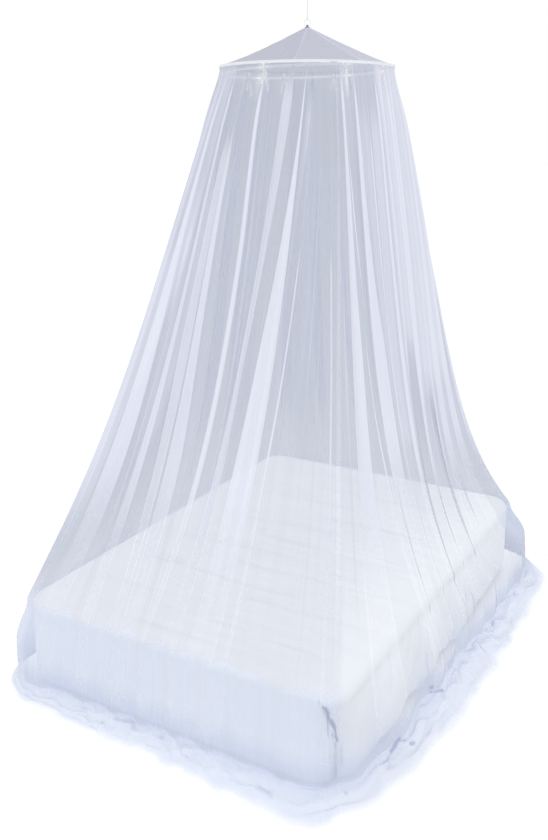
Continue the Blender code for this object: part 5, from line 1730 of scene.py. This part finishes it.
def cover_rows(azimuths, crease):
    """Rows of the cover's points: its top from the middle out, edge, falls, hem and lining."""
    hem = round_table(azimuths, DRAPES, "hem_z")
    lobed = smooth_step((0.9 - np.abs(azimuths + 0.15)) / 0.25)
    hem = hem + 0.010 * lobed * (noise(azimuths * 9.0, 0.0 * azimuths, 41) - 0.5)
    rows = []
    whole = bed_ring(azimuths, -COVER_EDGE, COVER_TOP)
    for share in np.linspace(0.015, 1.0, 60)[:-1]:
        crowned = whole * np.array([share, share, 1.0])
        fade = smooth_step((1.0 - share) / 0.06)
        crowned[:, 2] += COVER_CROWN * (1.0 - share ** 2)
        crowned[:, 2] += fade * crease_relief(crowned[:, 0], crowned[:, 1], crease)[0]
        rows.append(crowned)
    for turn in np.linspace(0.0, 1.0, 9):
        lean = math.pi / 2.0 * turn
        soft = 0.0025 * (noise(azimuths * 15.0, turn + 0.0 * azimuths, 44) - 0.8) * math.sin(math.pi * turn)
        grow = -COVER_EDGE * (1.0 - math.sin(lean)) + soft
        rows.append(bed_ring(azimuths, grow, COVER_SHOULDER + COVER_EDGE * math.cos(lean)))
    above_hem = hem + HEM_HEIGHT
    for down in np.linspace(0.0, 1.0, 22)[1:]:
        level = COVER_SHOULDER + (above_hem - COVER_SHOULDER) * down
        grow = cover_grow(azimuths, level) + puckers(azimuths, lobed, down, level)
        rows.append(bed_ring(azimuths, grow, level))
    outer = cover_grow(azimuths, above_hem) + puckers(azimuths, lobed, 1.0, above_hem)
    for turn in np.linspace(0.0, 1.0, 6)[1:]:
        lean = math.pi * turn
        level = above_hem - HEM_HEIGHT * math.sin(min(lean, math.pi / 2.0))
        rows.append(bed_ring(azimuths, outer - HEM_TURN * (1.0 - math.cos(lean)), level))
    lining = ((0.018, hem + 0.006), (0.022, MATTRESS_TOP - 0.030), (0.028, MATTRESS_TOP - 0.003),
              (0.052, MATTRESS_TOP + LINING_GAP))
    rows.extend(bed_ring(azimuths, -inset, level) for inset, level in lining)
    rows.append(rows[-1] * np.array([0.5, 0.5, 1.0]))
    return rows


def make_cover(settings, finish):
    """The filled bed cover: a crowned, creased top, soft edges, and falls with lobes and tucks."""
    azimuths = outline_azimuths(24, (260, 44, 70, 60))
    count = len(azimuths)
    rows = cover_rows(azimuths, settings.crease)
    points = np.concatenate(rows)
    faces = grid_faces(len(rows), count, closed=True)
    tops = len(points)
    centre_top = np.array([0.0, 0.0, COVER_TOP + COVER_CROWN])
    centre_low = np.array([0.0, 0.0, MATTRESS_TOP + LINING_GAP])
    points = np.concatenate([points, [centre_top, centre_low]])
    last = (len(rows) - 1) * count
    for step in range(count):
        after = (step + 1) % count
        faces.append((tops, after, step))
        faces.append((last + step, last + after, tops + 1))
    made = add_mesh("Bed_Cover", points, faces, finish)
    around = np.arctan2(points[:, 1], points[:, 0])
    # Painted shade: dark in the tucks of the falls, faint in the pressed creases on the top.
    deep = np.where(points[:, 2] < COVER_SHOULDER, tuck_depths(around, points[:, 2])[0], 0.0)
    pressed = crease_relief(points[:, 0], points[:, 1], settings.crease)[1]
    deep = np.where(points[:, 2] > COVER_TOP - 0.008, 0.10 * pressed, deep)
    put_layer(made, "tucked", deep)
    outward(made)
    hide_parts("bed_cover")
    return made


def make_mattress(finish):
    """The mattress: soft sides drawn in between two piped edges."""
    azimuths = outline_azimuths(8, (30, 20, 30, 20))
    sections = [(MATTRESS_LOW, 0.030), (MATTRESS_LOW, 0.012), (MATTRESS_LOW + 0.004, 0.004),
                (MATTRESS_LOW + 0.009, 0.0), (MATTRESS_LOW + 0.014, 0.004), (MATTRESS_LOW + 0.020, 0.003),
                (MATTRESS_LOW + 0.055, 0.001), (MATTRESS_TOP - 0.060, 0.001), (MATTRESS_TOP - 0.031, 0.003),
                (MATTRESS_TOP - 0.026, 0.004), (MATTRESS_TOP - 0.021, 0.0), (MATTRESS_TOP - 0.014, 0.004),
                (MATTRESS_TOP - 0.006, 0.010), (MATTRESS_TOP - 0.001, 0.024), (MATTRESS_TOP, 0.060)]
    rings = [bed_ring(azimuths, -MATTRESS_INSET - draw, height) for height, draw in sections]
    made = outward(tube("Mattress", rings, finish))
    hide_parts("mattress")
    return made


# ---------------------------------------------------------------- operators

def net_settings():
    """The net's settings in this file."""
    return bpy.context.scene.canopy_net


def bed_settings():
    """The bed's settings in this file."""
    return bpy.context.scene.canopy_bed


class AddCameraAndStudio(bpy.types.Operator):
    """Put up the camera, the floor and the light"""

    bl_idname = "canopy.add_studio"
    bl_label = "Studio"

    def execute(self, context):
        scene = context.scene
        studio = scene.canopy_studio
        camera = add_object("Camera", bpy.data.cameras.new("Camera"))
        camera.data.lens = LENS_MM
        camera.data.clip_end = 60.0
        camera.location = CAMERA_PLACE
        camera.rotation_euler = (math.radians(90.0 - LOOKS_DOWN_DEG), 0.0, math.radians(LOOKS_LEFT_DEG))
        scene.camera = camera

        pale = Finish("floor", Roughness=0.85, Specular_IOR_Level=0.1,
                      Emission_Color=(1.0, 1.0, 1.0, 1.0), Emission_Strength=FLOOR_GLOW)
        lighter = [min(1.0, channel * 1.02) for channel in studio.floor]
        pale.to(Base_Color=pale.mix(pale.grain(pale.place(), 1.2, 2.0), studio.floor, lighter))
        shape = bmesh.new()
        bmesh.ops.create_grid(shape, x_segments=12, y_segments=12, size=60.0)
        floor = add_shape("Studio_Floor", shape, pale.material)
        floor.location = (0.0, 0.0, -0.001)

        lamp = add_object("Overhead_Light", bpy.data.lights.new("Overhead_Light", "SUN"))
        lamp.data.energy = studio.key
        lamp.data.angle = math.radians(SUN_WIDTH_DEG)
        lamp.location = (0.0, 0.0, 6.0)
        lamp.rotation_euler = [math.radians(turn) for turn in SUN_TURN_DEG]

        world = bpy.data.worlds.new("Studio")
        world.use_nodes = True
        sky = Graph(world.node_tree)
        in_view, *_ = sky.node("ShaderNodeLightPath")
        ambient = [channel * studio.ambient for channel in SKY_TINT]
        light = sky.mix(in_view, ambient, (1.0, 1.0, 1.0))
        sky.tree.links.new(light.socket, sky.tree.nodes["Background"].inputs["Color"])
        scene.world = world
        scene.view_settings.view_transform = "Standard"
        scene.cycles.transparent_max_bounces = 64
        return {"FINISHED"}


class AddHangings(bpy.types.Operator):
    """Hang the cord, its loops, the ring, the tab and the hook"""

    bl_idname = "canopy.add_hangings"
    bl_label = "Cord, ring and hook"

    def execute(self, context):
        settings = net_settings()
        metal = metal_finish()
        make_cord(cord_finish(settings))
        make_ring(metal)
        make_tip_tab(cloth_finish("tab_webbing", settings.webbing, 0.0011, 0.7))
        wear("ceiling_hook", metal)
        return {"FINISHED"}


class AddNetWalls(bpy.types.Operator):
    """Hang the four widths of net, pleat by pleat, down to the floor"""

    bl_idname = "canopy.add_net_walls"
    bl_label = "Net walls"

    def execute(self, context):
        settings = net_settings()
        finish = net_finish("net_mesh", settings.thin_shaded, settings.full, settings.beside, settings.hollow)
        for panel in PANELS:
            made = make_wall(panel, settings, finish)
        return {"FINISHED"}


class AddNetRoof(bpy.types.Operator):
    """Sew the eight gores of the roof"""

    bl_idname = "canopy.add_net_roof"
    bl_label = "Net roof"

    def execute(self, context):
        settings = net_settings()
        finish = net_finish("roof_mesh", settings.roof, settings.seam)
        for number in range(GORES):
            made = make_gore(number, settings, finish)
        return {"FINISHED"}


class AddSeamTape(bpy.types.Operator):
    """Bind the seam between roof and wall"""

    bl_idname = "canopy.add_seam_tape"
    bl_label = "Seam tape"

    def execute(self, context):
        make_seam_tape(tape_finish(net_settings()))
        return {"FINISHED"}


class AddHoop(bpy.types.Operator):
    """Fit the hoop under the seam"""

    bl_idname = "canopy.add_hoop"
    bl_label = "Hoop"

    def execute(self, context):
        make_hoop(plastic_finish(net_settings()))
        return {"FINISHED"}


class AddTies(bpy.types.Operator):
    """Tie the ribbons round the hoop"""

    bl_idname = "canopy.add_ties"
    bl_label = "Ribbon ties"

    def execute(self, context):
        finish = cloth_finish("ribbon", net_settings().tape, 0.0009, 0.90)
        for tie in TIES:
            make_tie(tie, finish)
        return {"FINISHED"}


class AddBed(bpy.types.Operator):
    """Make up the bed: its base, mattress and cover"""

    bl_idname = "canopy.add_bed"
    bl_label = "Bed"

    def execute(self, context):
        settings = bed_settings()
        make_cover(settings, linen_finish(settings))
        make_mattress(cloth_finish("ticking", settings.ticking, 0.0020))
        wear("bed_base", cloth_finish("divan_cloth", settings.divan, 0.0024))
        return {"FINISHED"}


class CanopyPanel(bpy.types.Panel):
    """Lists the steps that build the canopy"""

    bl_idname = "VIEW3D_PT_canopy"
    bl_label = "Net Canopy"
    bl_space_type = "VIEW_3D"
    bl_region_type = "UI"
    bl_category = "Net Canopy"

    def draw(self, context):
        for group in ("canopy_net", "canopy_bed", "canopy_studio"):
            settings = getattr(context.scene, group)
            box = self.layout.box()
            for name in settings.__annotations__:
                box.prop(settings, name)
        for step in STEPS:
            self.layout.operator(step.bl_idname)


STEPS = (AddCameraAndStudio, AddHangings, AddNetWalls, AddNetRoof, AddSeamTape, AddHoop, AddTies, AddBed)
GROUPS = {"canopy_net": NetSettings, "canopy_bed": BedSettings, "canopy_studio": StudioSettings}


def register():
    """Register the settings, the operators and the panel."""
    for kind in (*GROUPS.values(), *STEPS, CanopyPanel):
        bpy.utils.register_class(kind)
    for name, kind in GROUPS.items():
        setattr(bpy.types.Scene, name, bpy.props.PointerProperty(type=kind))


def unregister():
    """Take the panel, the operators and the settings out again."""
    for name in GROUPS:
        delattr(bpy.types.Scene, name)
    for kind in reversed((*GROUPS.values(), *STEPS, CanopyPanel)):
        bpy.utils.unregister_class(kind)


def main():
    """Build every piece in order."""
    register()
    for step in STEPS:
        group, name = step.bl_idname.split(".")
        getattr(getattr(bpy.ops, group), name)()


if __name__ == "__main__":
    main()
